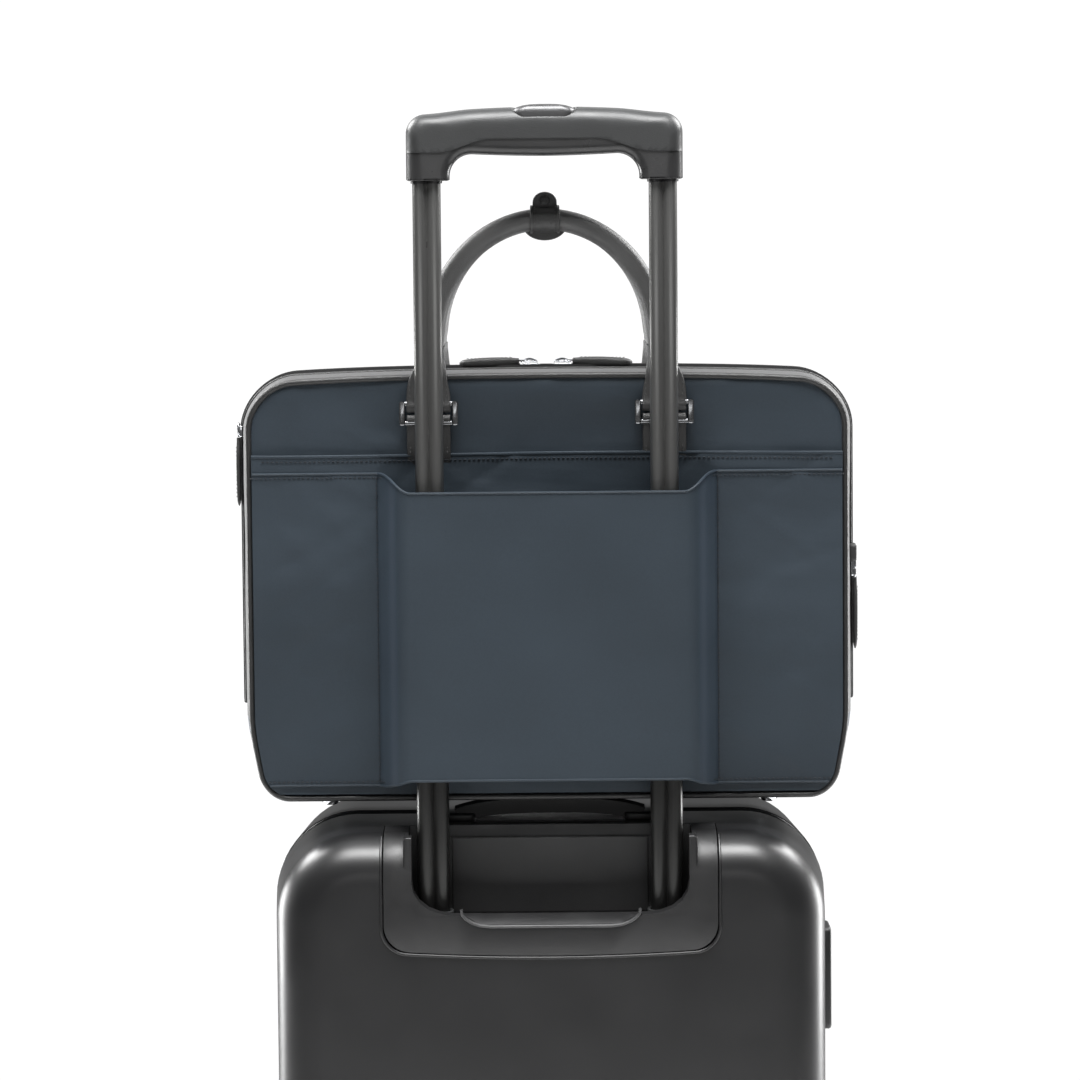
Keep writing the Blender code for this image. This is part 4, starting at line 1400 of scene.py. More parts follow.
def bag_wall_mesh(name, rows, panel, trim_index=1):
    """A wall of the laptop case: its side band, then its panel."""
    verts, faces = loft(rows + panel, False, True)
    mesh = bpy.data.meshes.new(name)
    mesh.from_pydata([tuple(v) for v in verts], [], faces)
    band = (len(rows) - 1) * len(rows[0])
    for index, polygon in enumerate(mesh.polygons):
        polygon.material_index = trim_index if index < band and is_trim(polygon.center) else 0
    bm = bmesh.new()
    bm.from_mesh(mesh)
    bmesh.ops.recalc_face_normals(bm, faces=bm.faces)
    bm.to_mesh(mesh)
    bm.free()
    return facing_away(mesh, Vector((0, ZIP_LINE, BAG_CENTRE)))


def band_row(y, extra=0.0):
    ring = []
    for x, z in bag_outline(bag_grow(y) + extra):
        soft = 0.0006 * soft_noise(x, y, z, 22.0, 4.0) * ease(abs(x), 0.05, 0.15)
        ring.append((x + soft, y, z))
    return ring


def bag_half(name, start, reach, surface):
    """One half's open wall: rows from the zip line towards its panel, then the panel."""
    rows = [band_row(start + share * reach)
            for share in (0.0, 0.04, 0.1, 0.22, 0.36, 0.52, 0.68, 0.82, 0.93, 1.0)]
    return bag_wall_mesh(name, rows, panel_rings(bag_outline(-PANEL_INSET), surface))


def finish_bag_half(name, mesh, thickness, body, node):
    for material in ("nylon", "tape", "lining"):
        mesh.materials.append(MATERIALS[material])
    obj = finish_piece(name, thickened(mesh, thickness, 2), [], body, [node], 50.0)


def build_bag_walls():
    """The back half with its floor, and the front half that folds forward."""
    back = bag_half("back_wall", ZIP_LINE - ZIP_GAP, BAG_BACK - ZIP_LINE + 0.0025, back_panel_y)
    finish_bag_half("laptop_case_back", back, 0.0030, "laptop_case", "bag_body")
    front = bag_half("front_wall", ZIP_LINE + ZIP_GAP, BAG_FRONT - ZIP_LINE - 0.0030, front_panel_y)
    floor_z = PANEL_LOW.z + 0.0006
    bm = bmesh.new()
    bm.from_mesh(front)
    bmesh.ops.bisect_plane(
        bm, geom=list(bm.verts) + list(bm.edges) + list(bm.faces),
        plane_co=(0, 0, floor_z), plane_no=UP, clear_inner=True,
    )
    bm.to_mesh(front)
    bm.free()
    finish_bag_half("laptop_case_front", front, 0.0026, "laptop_case_front", "bag_front_panel")
    build_bag_floor(floor_z)


def build_bag_floor(floor_z):
    """The floor under the front half: it belongs to the back half."""
    rings = []
    for k in range(13):
        y = ZIP_LINE - 0.004 + (BAG_FRONT - 0.0015 - ZIP_LINE + 0.004) * k / 12
        outline = bag_outline(bag_grow(min(y, BAG_FRONT - 0.004)))
        lower = sorted((p for p in outline if p[1] < floor_z - 0.0002), key=lambda p: p[0])
        half = max(p[0] for p in lower)
        row = []
        for i in range(49):
            x = -half + 2 * half * i / 48
            before = max((p for p in lower if p[0] <= x + 1e-9), key=lambda p: p[0])
            after = min((p for p in lower if p[0] >= x - 1e-9), key=lambda p: p[0])
            span = after[0] - before[0]
            share = (x - before[0]) / span if span > 1e-9 else 0.0
            row.append((x, y, before[1] + (after[1] - before[1]) * share))
        rings.append(row)
    mesh = facing_along(closed_mesh("floor", *loft(rings, wrap=False)), -UP)
    mesh.materials.append(MATERIALS["nylon"])
    mesh.materials.append(MATERIALS["lining"])
    mesh = thickened(mesh, 0.0024, 1)
    finish_piece("laptop_case_floor", mesh, [], "laptop_case")


def outline_line(y, grow, low_z=None):
    """The case's outline at a depth, open at the bottom below low_z."""
    points = [Vector((x, y, z)) for x, z in bag_outline(grow)]
    if low_z is None:
        return points
    start = min(range(len(points)), key=lambda i: (points[i].z, abs(points[i].x)))
    turned = points[start:] + points[:start]
    return [p for p in turned if p.z > low_z]


def build_piping():
    """Leather piping round both panels, and a second bead beside the zip."""
    for name, y, body in (("back", BAG_BACK + 0.0016, "laptop_case"),
                          ("front", BAG_FRONT - 0.0018, "laptop_case_front")):
        if name == "back":
            line, closed = outline_line(y, 0.0012), True
        else:
            line, closed = outline_line(y, 0.0012, PANEL_LOW.z + 0.0022), False
        bead = tube_along(line, 0.0021, 12, closed=closed)
        finish_piece(f"piping_{name}", bead, ["piping"], body)
    for name, y, body in (("back", ZIP_LINE - 0.0155, "laptop_case"),
                          ("front", ZIP_LINE + 0.0155, "laptop_case_front")):
        line = outline_line(y, bag_grow(y) + 0.0002, TRIM_LOW)
        bead = tube_along(line, 0.0010, 8, flat=1.2)
        finish_piece(f"zip_binding_{name}", bead, ["piping"], body)


def zip_path(y, lift, low_z=TRIM_LOW + 0.0020):
    line = outline_line(y, bag_grow(ZIP_LINE) + lift, low_z)
    middle = Vector((0, y, BAG_CENTRE))
    made = []
    for i, point in enumerate(line):
        along = (line[min(i + 1, len(line) - 1)] - line[max(i - 1, 0)]).normalized()
        up = along.cross(AWAY).normalized()
        if up.dot(point - middle) < 0:
            up = -up
        made.append((point, up))
    return made


def build_bag_zip():
    """Tape, teeth and end stops of the main zip, half on each side of it."""
    for name, shift, body in (("back", -0.0038, "laptop_case"), ("front", 0.0038, "laptop_case_front")):
        line = [p + up * 0.0002 for p, up in zip_path(ZIP_LINE + shift, 0.0)]
        tape = strip_section(0.0005, 0.0029)
        strip = sweep(line, tape)
        finish_piece(f"zip_tape_{name}", strip, ["tape"], body)
    for name, shift, body in (("back", -0.0009, "laptop_case"), ("front", 0.0009, "laptop_case_front")):
        repeated(f"zip_teeth_{name}", [zip_path(ZIP_LINE + shift, 0.0007)], settings().tooth_pitch,
                 (0.0013, 0.0022, 0.0014), "metal", body)
    ends = []
    for _, side in SIDES:
        path = zip_path(ZIP_LINE, 0.0010)
        point = min((p for p, up in path if p.x * side > 0), key=lambda p: p.z)
        half = Vector((0.0016, 0.0042, 0.0030))
        ends.append((point - half, point + half))
    for (low, high), (name, _) in zip(ends, SIDES):
        finish_piece(f"zip_end_{name}", box_mesh(low, high, 0.0012), ["leather"], "laptop_case")


# --- the laptop case: pocket and sleeve ---

POCKET_TOP = 0.7860
POCKET_LOW_Z = 0.5590
FLANGE_Y = POCKET_LOW.y - 0.0008
STITCH_X = 0.1125
SLEEVE_FLAT = 0.0860  # half the flat front of the sleeve


def pocket_y(x, z):
    """The flat pocket lies on the back, its mouth standing off a little."""
    mouth = ease(z, 0.755, POCKET_TOP)
    lean = mouth * 0.0007 * sin(x * 31.0 + 0.6)
    return POCKET_LOW.y + 0.0005 - 0.0005 * mouth - lean + cloth_wave(x, z)


def sheet_mesh(columns, rows, place, thickness, inner=0):
    """A cloth grid. place(u, v) gives a point for shares across and up."""
    grid = [[place(i / columns, j / rows) for i in range(columns + 1)] for j in range(rows + 1)]
    mesh = facing_along(closed_mesh("sheet", *loft(grid, wrap=False)), -AWAY)
    mesh.materials.append(MATERIALS["nylon"])
    mesh.materials.append(MATERIALS["lining"])
    return thickened(mesh, thickness, inner)


def panel_half_at(z, margin=0.0):
    """Half the back panel's width at a height, to its piping."""
    half = PANEL_HALF - margin - taper_at(z)
    drop = PANEL_BOTTOM + PANEL_LOW_CORNER - z
    if drop > 0:
        inside = sqrt(max(0.0, PANEL_LOW_CORNER ** 2 - min(drop, PANEL_LOW_CORNER) ** 2))
        half -= PANEL_LOW_CORNER - inside
    return half


def build_back_pocket():
    """The pocket across the back, with a folded hem along its mouth."""

    def place(u, v):
        z = POCKET_LOW_Z + (POCKET_TOP - POCKET_LOW_Z) * v
        x = (2 * u - 1) * panel_half_at(z, 0.0006)
        dip = 0.0007 * sin(x * 17.0 + 1.0) * ease(v, 0.8, 1.0)
        return (x, pocket_y(x, z), z + dip)

    mesh = sheet_mesh(120, 60, place, 0.0006)
    obj = finish_piece("pocket_cloth", mesh, [], "laptop_case", ["back_pocket"])
    hem, seam = [], []
    for i in range(101):
        point = Vector(place(i / 100, 1.0))
        hem.append(point + Vector((0, 0.0002, -0.0007)))
        z = POCKET_TOP - 0.0040 + (point.z - POCKET_TOP)
        seam.append((Vector((point.x, pocket_y(point.x, z) - 0.0004, z)), -AWAY))
    bead = tube_along(hem, 0.0011, 8, flat=0.75)
    finish_piece("pocket_hem", bead, ["nylon"], "laptop_case")
    stitches("pocket_stitches", [seam[2:-2]], "laptop_case")


def sleeve_plan():
    """Half of the sleeve's line seen from above: flange, fold at the stitches, flat front."""
    front = SLEEVE_LOW.y + 0.0001
    corners = [
        (STITCH_X, FLANGE_Y), (STITCH_X - 0.0022, FLANGE_Y - 0.0030),
        (STITCH_X - 0.0075, FLANGE_Y - 0.0128), (STITCH_X - 0.0130, front + 0.0060),
        (STITCH_X - 0.0185, front + 0.0012), (SLEEVE_FLAT, front),
    ]
    return smooth_line([(x, y, 0) for x, y in corners], 6)


def sleeve_edge(x, upper):
    """Height of the sleeve's top or bottom edge: an S-curve in towards the middle."""
    share = ease(abs(x), 0.0900, 0.1105)
    if upper:
        return 0.7625 + 0.0113 * share
    return 0.5715 - 0.0070 * share


def build_sleeve():
    """The sleeve over the handle tubes: one sheet, sewn down on both sides."""
    ramp = sleeve_plan()
    outer = panel_half_at(0.62, 0.0010)
    line = [(outer + (STITCH_X - outer) * k / 16, FLANGE_Y) for k in range(16)]
    line += [(p.x, p.y) for p in ramp]
    line += [(SLEEVE_FLAT * (1 - k / 20), SLEEVE_LOW.y + 0.0001) for k in range(1, 21)]
    line = line + [(-x, y) for x, y in line[-2::-1]]
    columns, rows = len(line) - 1, 72
    depth = settings().wrinkle_depth

    def place(u, v):
        x, y = line[round(u * columns)]
        low, high = sleeve_edge(x, False), sleeve_edge(x, True)
        z = low + (high - low) * v
        beyond = abs(x) - STITCH_X
        if beyond > 0:
            reach = (panel_half_at(z, 0.0010) - STITCH_X) / (outer - STITCH_X)
            x = (STITCH_X + beyond * reach) * (1 if x > 0 else -1)
        seam = exp(-(((abs(x) - STITCH_X) / 0.006) ** 2))
        pucker = seam * 0.00035 * sin(z * 900.0 + 2.0 * soft_noise(0, 0, z, 60.0))
        flat = 1.0 - seam
        wave = soft_noise(x, 2.0, z, 11.0, 3.3) + 0.45 * soft_noise(x * 1.5, 2.0, z, 30.0, 8.8)
        free = ease(-abs(x), -0.108, -0.080)
        belly = 0.0011 * free * sin(pi * v)
        tubes = 0.0005 * free * exp(-(((abs(x) - TUBE_X) / 0.012) ** 2))
        y += flat * depth * wave * 0.55 * free + pucker - belly * 0.3 - tubes
        y += cloth_wave(x, z) * (1 - ease(-abs(x), -STITCH_X, -0.100))
        return (x, max(y, SLEEVE_LOW.y - 0.0012), z)

    mesh = sheet_mesh(columns, rows, place, 0.0008)
    mesh.materials[0] = MATERIALS["nylon_sleeve"]
    obj = finish_piece("sleeve_cloth", mesh, [], "laptop_case", ["trolley_sleeve"])
    length = sum(hypot(b[0] - a[0], b[1] - a[1]) for a, b in zip(line, line[1:]))

    for name, v, shift in (("top", 1.0, -0.0006), ("bottom", 0.0, 0.0006)):
        hem = [Vector(place(i / columns, v)) + Vector((0, 0.0001, shift)) for i in range(columns + 1)]
        bead = tube_along(hem, 0.0009, 8, flat=0.8)
        finish_piece(f"sleeve_hem_{name}", bead, ["nylon_sleeve"], "laptop_case")
    seams = []
    for v, inset in ((1.0, -0.0032), (0.0, 0.0032)):
        edge = []
        for i in range(columns + 1):
            point = Vector(place(i / columns, v))
            edge.append((point + Vector((0, -0.0004, inset)), -AWAY))
        seams += [[p for p in edge if p[0].x < -0.1100], [p for p in edge if p[0].x > 0.1100]]
    for _, side in SIDES:
        x = STITCH_X + 0.0006
        low, high = sleeve_edge(x, False) + 0.004, sleeve_edge(x, True) - 0.004
        seams.append([
            (Vector((side * x, FLANGE_Y - 0.0005 + cloth_wave(side * x, z), z)), -AWAY)
            for z in [low + (high - low) * k / 60 for k in range(61)]
        ])
    stitches("sleeve_stitches", seams, "laptop_case")


# --- the laptop case: handles and metalwork ---


def arch_line(low, high, count=48):
    """The rolled handle's line: half an ellipse on two short upright legs."""
    y = (low.y + high.y) / 2
    half = high.x - ROLL_RADIUS
    base, top = low.z + 0.0065, high.z - ROLL_RADIUS
    arch = [
        Vector((half * cos(pi - pi * i / count), y, base + (top - base) * sin(pi * i / count)))
        for i in range(count + 1)
    ]
    first, last = arch[0].copy(), arch[-1].copy()
    first.z = last.z = low.z
    return [first] + arch + [last]


def roll_section(share):
    """A round section with a raised seam on its inner side, flattened at both feet."""
    foot = 1 - min(ease(share, 0.0, 0.05), ease(1 - share, 0.0, 0.05))
    pairs = []
    for i in range(24):
        angle = 2 * pi * i / 24
        a, b = cos(angle), sin(angle)
        ridge = 0.0006 * exp(-(((angle - pi) / 0.25) ** 2))
        pairs.append((a * (ROLL_RADIUS - 0.0002 - 0.0012 * foot) - ridge, b * (ROLL_RADIUS - 0.0002)))
    return pairs


def build_rolled_handles():
    """Both rolled handles with their seams, and the snap strap on the rear one."""
    for name, low, high in (("rear_handle", ROLL_LOW, ROLL_HIGH),
                            ("front_handle", FRONT_ROLL_LOW, FRONT_ROLL_HIGH)):
        line = arch_line(low, high)
        form = sweep(line, lambda i, share: roll_section(share))
        # The rolls take the lightened copy of the black leather: painted highlight.
        finish_piece(f"{name}_roll", form, ["roll"], name, [name])
        seam = []
        centre = Vector((0, line[0].y, low.z + 0.02))
        for point, side, normal in frames_along(line):
            inward = side if side.dot(centre - point) > 0 else -side
            seam.append((point + inward * (ROLL_RADIUS - 0.0002) + normal * 0.0022, inward))
        stitches(f"{name}_seam", [seam[2:-2]], name, "dark_thread", (0.0024, 0.0007, 0.0005), 0.0034)
    build_snap_strap()


def build_snap_strap():
    """The strap round the rear handle: a stitched wrap, a tab above and a flap below."""
    low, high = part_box("handle_keeper")
    centre = (low + high) / 2
    radius = (high.z - low.z) / 2 - 0.0004
    half = 0.0088
    outer = [(radius, -half), (radius, half), (radius - 0.0012, half), (radius - 0.0012, -half)]
    wrap = lathe(outer + outer[:1], centre, ACROSS, 48)
    tab_outline = [(0.0080 * cos(a), 0.0066 * sin(a)) for a in [pi * k / 16 for k in range(17)]]
    tab_outline += [(-0.0082, -0.006), (0.0082, -0.006)]
    tab = cushion_block(tab_outline, centre.y - 0.0022, centre.y + 0.0004, 0.0008, 3,
                        lambda u, w, v: (u, w, centre.z + radius + 0.0030 + v))
    flap_outline = [(0.0145 * cos(a), 0.0100 * sin(a)) for a in [pi + pi * k / 20 for k in range(21)]]
    flap_outline += [(0.0130, 0.0032), (-0.0130, 0.0032)]
    flap = cushion_block(flap_outline, centre.y + 0.0012, centre.y + 0.0034, 0.0008, 3,
                         lambda u, w, v: (u, w, centre.z - radius + 0.0045 + v))
    borders = []
    for side in (-1, 1):
        edge = [(radius + 0.0008, side * half + 0.0007), (radius + 0.0008, side * half - 0.0007),
                (radius - 0.0004, side * half - 0.0009), (radius - 0.0004, side * half + 0.0009)]
        borders.append(lathe(edge + edge[:1], centre, ACROSS, 48))
    finish_piece("snap_strap", joined([wrap, tab, flap] + borders), ["leather"],
                 "rear_handle", ["handle_keeper"])
    stud = [(0.0, 0.0012), (0.0022, 0.0011), (0.0036, 0.0004), (0.0038, -0.0004), (0.0, -0.0004)]
    snap = lathe(stud, (0, centre.y - 0.0022, centre.z + radius + 0.0040), -AWAY, 28)
    finish_piece("snap_stud", snap, ["piping"], "rear_handle")
    rows = []
    for side in (-1, 1):
        row = []
        for k in range(19):
            angle = radians(115 + 130 * k / 18)
            up = Vector((0, cos(angle), sin(angle)))
            row.append((centre + up * (radius + 0.0003) + Vector((side * 0.0068, 0, 0)), up))
        rows.append(row)
    stitches("snap_stitches", rows, "rear_handle", "dark_thread", (0.0016, 0.0006, 0.0005), 0.0024)


def strap_piece(name, line, widths, thick, out, body, replaces=()):
    """A flat leather strap along a line in the plane across X, with a width at each point."""

    def section(i, share):
        half = widths[i] / 2
        return rounded_rect(half, thick / 2, thick * 0.45, 3)

    form = sweep(line, section, Vector((0, out, 0)))
    return finish_piece(name, form, ["leather"], body, replaces)


def build_tabs_and_rings():
    """Straps from the piping to the rings and from the rings down, on both panels."""
    for row, face, out, body in (("rear", BAG_BACK, -1, "laptop_case"),
                                 ("front", BAG_FRONT, 1, "laptop_case_front")):
        roll_low = ROLL_LOW if row == "rear" else FRONT_ROLL_LOW
        roll_y = roll_low.y + ROLL_RADIUS
        for name, side in SIDES:
            x = side * RING_X
            shift = side * (ROLL_HIGH.x - ROLL_RADIUS - RING_X)
            tab_y = face + out * 0.0014
            bottom = POCKET_TOP - 0.010 if row == "rear" else 0.7750
            lower = smooth_line([
                (x, tab_y if row == "front" else POCKET_LOW.y + 0.0025, bottom), (x, tab_y, bottom + 0.012),
                (x, face + out * 0.0030, RING_Z - 0.0075), (x, face + out * 0.0043, RING_Z - 0.0042),
                (x, face + out * 0.0030, RING_Z - 0.0016), (x, face + out * 0.0012, RING_Z - 0.0042),
            ], 6)
            strap_piece(f"{row}_lower_tab_{name}", lower, [0.0290] * len(lower), 0.0018, out, body,
                        [f"{row}_tab_{name}"])
            upper = smooth_line([
                (x, face + out * 0.0012, RING_Z + 0.0044), (x, face + out * 0.0030, RING_Z + 0.0016),
                (x, face + out * 0.0043, RING_Z + 0.0042), (x, face + out * 0.0034, RING_Z + 0.0090),
                (x, face + out * 0.0030, RING_Z + 0.0190),
                (x + shift * 0.4, face + out * 0.0030, RING_Z + 0.0280),
                (x + shift * 0.8, (face + out * 0.0020 + roll_y) / 2, roll_low.z - 0.0035),
                (x + shift, roll_y, roll_low.z + 0.0030),
            ], 6)
            widths = [0.0295 - 0.0150 * ease(k / (len(upper) - 1), 0.42, 1.0) for k in range(len(upper))]
            strap_piece(f"{row}_upper_strap_{name}", upper, widths, 0.0026, out, body)
            build_ring(row, name, x, face, out, body)
            build_tab_stitches(row, name, x, face, out, body, bottom)


def build_ring(row, name, x, face, out, body):
    """A square ring with a thicker post on each side."""
    y = face + out * 0.0030
    line = [(x + u, y, RING_Z + v) for u, v in rounded_rect(0.0180, 0.0064, 0.0022, 5, 6)]
    pairs = rounded_rect(0.0014, 0.0019, 0.0007, 3)
    form = sweep(line, pairs, closed=True)
    finish_piece(f"{row}_square_ring_{name}", form, ["metal"], body, [f"{row}_ring_{name}"])
    near, far = sorted((face + out * 0.0008, face + out * 0.0052))
    for number, side in ((1, -1), (2, 1)):
        middle = x + side * 0.0174
        post = box_mesh((middle - 0.0021, near, RING_Z - 0.0080),
                        (middle + 0.0021, far, RING_Z + 0.0080), 0.0007, 2)
        finish_piece(f"{row}_ring_post_{name}_{number}", post, ["metal"], body)


def build_tab_stitches(row, name, x, face, out, body, bottom):
    rows = []
    for side in (-1, 1):
        for lift, start, run in ((0.0026, bottom + 0.011, 0.0125), (0.0046, RING_Z + 0.0080, 0.0110)):
            rows.append([
                (Vector((x + side * 0.0122, face + out * lift, start + run * k / 6)), (0, out, 0))
                for k in range(7)
            ])
    stitches(f"{row}_tab_stitches_{name}", rows, body, "dark_thread", (0.0022, 0.0007, 0.0005))


SLIDER_DROP = Vector((0, 0, 0.0034))


def build_zip_sliders():
    """Each slider's body, bridge and link, and its leather pull."""
    for name, side in SIDES:
        low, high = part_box(f"zip_slider_{name}")
        low, high = low - SLIDER_DROP, high - SLIDER_DROP
        y = (low.y + high.y) / 2
        inner = low.x if side > 0 else high.x
        parts = []
        base = box_mesh((low.x, low.y, low.z - 0.0006), (high.x, high.y, low.z + 0.0010), 0.0006, 3, 2)
        roof = box_mesh((low.x + 0.001, low.y + 0.001, low.z + 0.0016),
                        (high.x - 0.001, high.y - 0.001, low.z + 0.0026), 0.0004, 3, 2)
        parts += [mesh_data(base), mesh_data(roof)]
        bridge = []
        for k in range(11):
            x = inner + side * (0.0020 + 0.0090 * k / 10)
            bridge.append((x, y, low.z + 0.0024 + 0.0016 * sin(pi * k / 10)))
        parts.append(tube_along(bridge, 0.0009, 8))
        middle = inner + side * 0.0122
        ring = [(middle + u, y + v, low.z + 0.0030) for u, v in circle(0.0032, 20, 0.8125)]
        parts.append(tube_along(ring, 0.0007, 8, UP, closed=True))
        finish_piece(f"slider_{name}", joined(parts), ["bright"],
                     f"zip_slider_{name}", [f"zip_slider_{name}"])
        low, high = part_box(f"zip_pull_{name}")
        near = low.x if side > 0 else high.x
        leather_pull(f"pull_{name}", Vector((near, y, (low.z + high.z) / 2 - 0.0030)),
                     Vector((side, -0.10, -0.020)), high.x - low.x, 0.0056, 0.0033, UP,
                     f"zip_pull_{name}", [f"zip_pull_{name}"])


def leather_pull(name, start, along, length, half_width, half_thick, up, body, replaces):
    """A padded leather pull: narrow at its link, full in the middle, round at its end."""
    along = along.normalized()
    count = 28
    line = [start + along * (length * k / count) for k in range(count + 1)]

    def section(i, share):
        swell = 0.62 + 0.38 * ease(share, 0.02, 0.30)
        end = sqrt(max(0.04, 1 - ease(share, 0.86, 1.02) ** 2))
        plump = 0.70 + 0.30 * sin(pi * min(1.0, share * 1.1))
        thick = half_thick * plump * end
        return rounded_rect(half_width * swell * end, thick, thick * 0.7, 3)

    form = sweep(line, section, up)
    obj = finish_piece(name, form, ["leather"], body, replaces)
    rows = []
    side = along.cross(up).normalized()
    for sign in (-1, 1):
        rows.append([
            (start + along * (length * (0.14 + 0.72 * k / 10)) + side * (sign * half_width * 0.72)
             + up * (half_thick * 0.93), up)
            for k in range(11)
        ])
    stitches(f"{name}_stitches", rows, body, "dark_thread", (0.0018, 0.0005, 0.0004), 0.0026)
    return obj


def build_side_trim():
    """The link and hanging pull on each side of the laptop case, and a loop on the right side."""
    for name, side in SIDES:
        low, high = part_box(f"side_tab_{name}")
        y = (low.y + high.y) / 2
        face = low.x if side > 0 else high.x
        x = face + side * 0.0018
        top = high.z
        parts = []
        if name == "right":
            loop = box_mesh((min(face - side * 0.002, x + side * 0.0012), y - 0.0058, top - 0.012),
                            (max(face - side * 0.002, x + side * 0.0012), y + 0.0058, top), 0.0012, 4, 0)
            finish_piece("side_loop_right", loop, ["leather"], "laptop_case")
            centres = (top - 0.0142, top - 0.0195)
        else:
            centres = (top - 0.0040,)
        for z in centres:
            ring = [(x, y + 0.9 * u, z + v) for u, v in circle(0.0040, 24)]
            parts.append(tube_along(ring, 0.0009, 8, ACROSS, closed=True))
        base = box_mesh((min(face - side * 0.001, face + side * 0.0012), y - 0.004, low.z),
                        (max(face - side * 0.001, face + side * 0.0012), y + 0.004, high.z - 0.001),
                        0.0006, 3, 0)
        parts.append(mesh_data(base))
        finish_piece(f"side_link_{name}", joined(parts), ["bright"], "laptop_case",
                     [f"side_tab_{name}"])
        low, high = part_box(f"side_pull_{name}")
        leather_pull(f"side_leather_{name}", Vector(((low.x + high.x) / 2, y, high.z)), -UP,
                     high.z - low.z, 0.0052, 0.0015, Vector((side, 0, 0)), f"side_pull_{name}",
                     [f"side_pull_{name}"])


def build_bag_feet():
    for number in range(1, 5):
        low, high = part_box(f"bag_foot_{number}")
        centre = (low + high) / 2
        profile = [(0.0, 0.0034), (0.0056, 0.0034), (0.0054, 0.0016), (0.0046, 0.0005),
                   (0.0030, 0.0), (0.0, 0.0)]
        foot = lathe(profile, (centre.x, centre.y, low.z), UP, 28)
        finish_piece(f"dome_foot_{number}", foot, ["bright"], "laptop_case",
                     [f"bag_foot_{number}"])


# --- inside the wheeled case ---


def build_case_inside():
    """The cloth hinge, the packing straps and the carried-over bracket's finish."""
    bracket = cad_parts["tube_foot_bracket"]
    bracket.data.materials.clear()
    bracket.data.materials.append(MATERIALS["housing"])
    hinge_low, hinge_high = 0.12, 0.46
    x = -CASE_HALF + 0.0032
    rings = []
    for k in range(13):
        y = -0.010 + 0.020 * k / 12
        bow = 0.0012 * sin(pi * k / 12)
        rings.append([(x + bow, y, hinge_low + (hinge_high - hinge_low) * j / 12) for j in range(13)])
    mesh = closed_mesh("hinge", *loft(rings, wrap=False))
    mesh = thickened(mesh, 0.0008, offset=0.0)
    obj = finish_piece("cloth_hinge", mesh, ["tape"])
    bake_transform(obj)
    for index, z in enumerate((0.20, 0.38)):
        line = []
        for k in range(41):
            share = k / 40
            bow, wave = 0.006 * sin(pi * share), 0.004 * sin(2 * pi * share)
            line.append((-0.168 + 0.336 * share, -0.030 - bow, z + wave))
        web = rounded_rect(0.0125, 0.0008, 0.0007, 2)
        form = sweep(line, web)
        finish_piece(f"packing_strap_{index + 1}", form, ["tape"], "rear_case")
        buckle = box_mesh((-0.022, -0.0395, z - 0.015), (0.022, -0.0325, z + 0.015), 0.0022, 4)
        finish_piece(f"strap_buckle_{index + 1}", buckle, ["housing"], "rear_case")


# --- stage ---

FLOOR_RADIUS = 1.5
CAMERA_PLACE = Vector((-0.005, -2.769, 0.950))
CAMERA_PITCH = radians(4.70)
CAMERA_ROLL = radians(-0.50)
CAMERA_LENS = 136.0


def area_light(name, place, target, size, power):
    light = bpy.data.lights.new(name, "AREA")
    light.shape = "RECTANGLE"
    light.size, light.size_y = size
    light.energy = power
    obj = linked(name, light)
    obj.location = place
    obj.rotation_euler = (Vector(target) - Vector(place)).to_track_quat("-Z", "Y").to_euler()


def build_stage():
    """Floor, white surroundings, softboxes and the camera."""
    scene = bpy.context.scene
    scene.view_settings.view_transform = "Standard"
    mesh = bpy.data.meshes.new("floor")
    rim = [(x, y, 0) for x, y in circle(FLOOR_RADIUS, 96)]
    mesh.from_pydata(rim, [], [tuple(range(96))])
    floor = linked("floor", mesh)
    pale = Shader("pale_floor")
    pale.colour(pale.noise(0.8, 2.0), (0.93, 0.93, 0.93), (0.95, 0.95, 0.95))
    pale.set(Roughness=0.9, Specular_IOR_Level=0.1)
    mesh.materials.append(pale.material)

    world = bpy.data.worlds.new("white_surroundings")
    scene.world = world
    world.use_nodes = True
    nodes, links = world.node_tree.nodes, world.node_tree.links
    background = nodes["Background"]
    path = nodes.new("ShaderNodeLightPath")
    mix = nodes.new("ShaderNodeMix")
    mix.inputs["A"].default_value = 0.13
    mix.inputs["B"].default_value = 1.05
    links.new(path.outputs["Is Camera Ray"], mix.inputs["Factor"])
    links.new(mix.outputs["Result"], background.inputs["Strength"])
    background.inputs["Color"].default_value = (1, 1, 1, 1)

    for side, name in ((-1, "left"), (1, "right")):
        area_light(f"softbox_{name}", (side * 1.9, 1.15, 0.42), (0, 0.0, 0.36), (0.6, 0.9), 34)
        area_light(f"shoulder_{name}", (side * 1.4, 0.85, 1.9), (0, 0, 0.5), (0.9, 0.9), 52)
    area_light("softbox_top", (0.0, -0.60, 2.4), (0, 0, 0.7), (1.7, 0.7), 92)
    area_light("softbox_front", (0.0, -3.3, 1.30), (0, 0, 0.9), (2.0, 0.6), 7)
    area_light("softbox_back", (0.0, 2.0, 2.6), (0, 0, 0.7), (2.0, 1.0), 10)

    camera = bpy.data.cameras.new("camera")
    camera.lens = CAMERA_LENS
    camera.sensor_width = 36.0
    camera.clip_end = 60.0
    obj = linked("camera", camera)
    turn = Matrix.Rotation(pi / 2 - CAMERA_PITCH, 4, "X") @ Matrix.Rotation(CAMERA_ROLL, 4, "Z")
    obj.matrix_world = Matrix.Translation(CAMERA_PLACE) @ turn
    scene.camera = obj


# --- operators, panel and registration ---


class CASE_OT_stage(bpy.types.Operator):
    """Set up the floor, the lights and the camera"""

    bl_idname = "rolling_case.stage"
    bl_label = "Stage"

    def execute(self, context):
        build_stage()
        return {"FINISHED"}


class CASE_OT_materials(bpy.types.Operator):
    """Make every finish from the settings"""

    bl_idname = "rolling_case.materials"
    bl_label = "Finishes"

    def execute(self, context):
        build_materials()
        return {"FINISHED"}


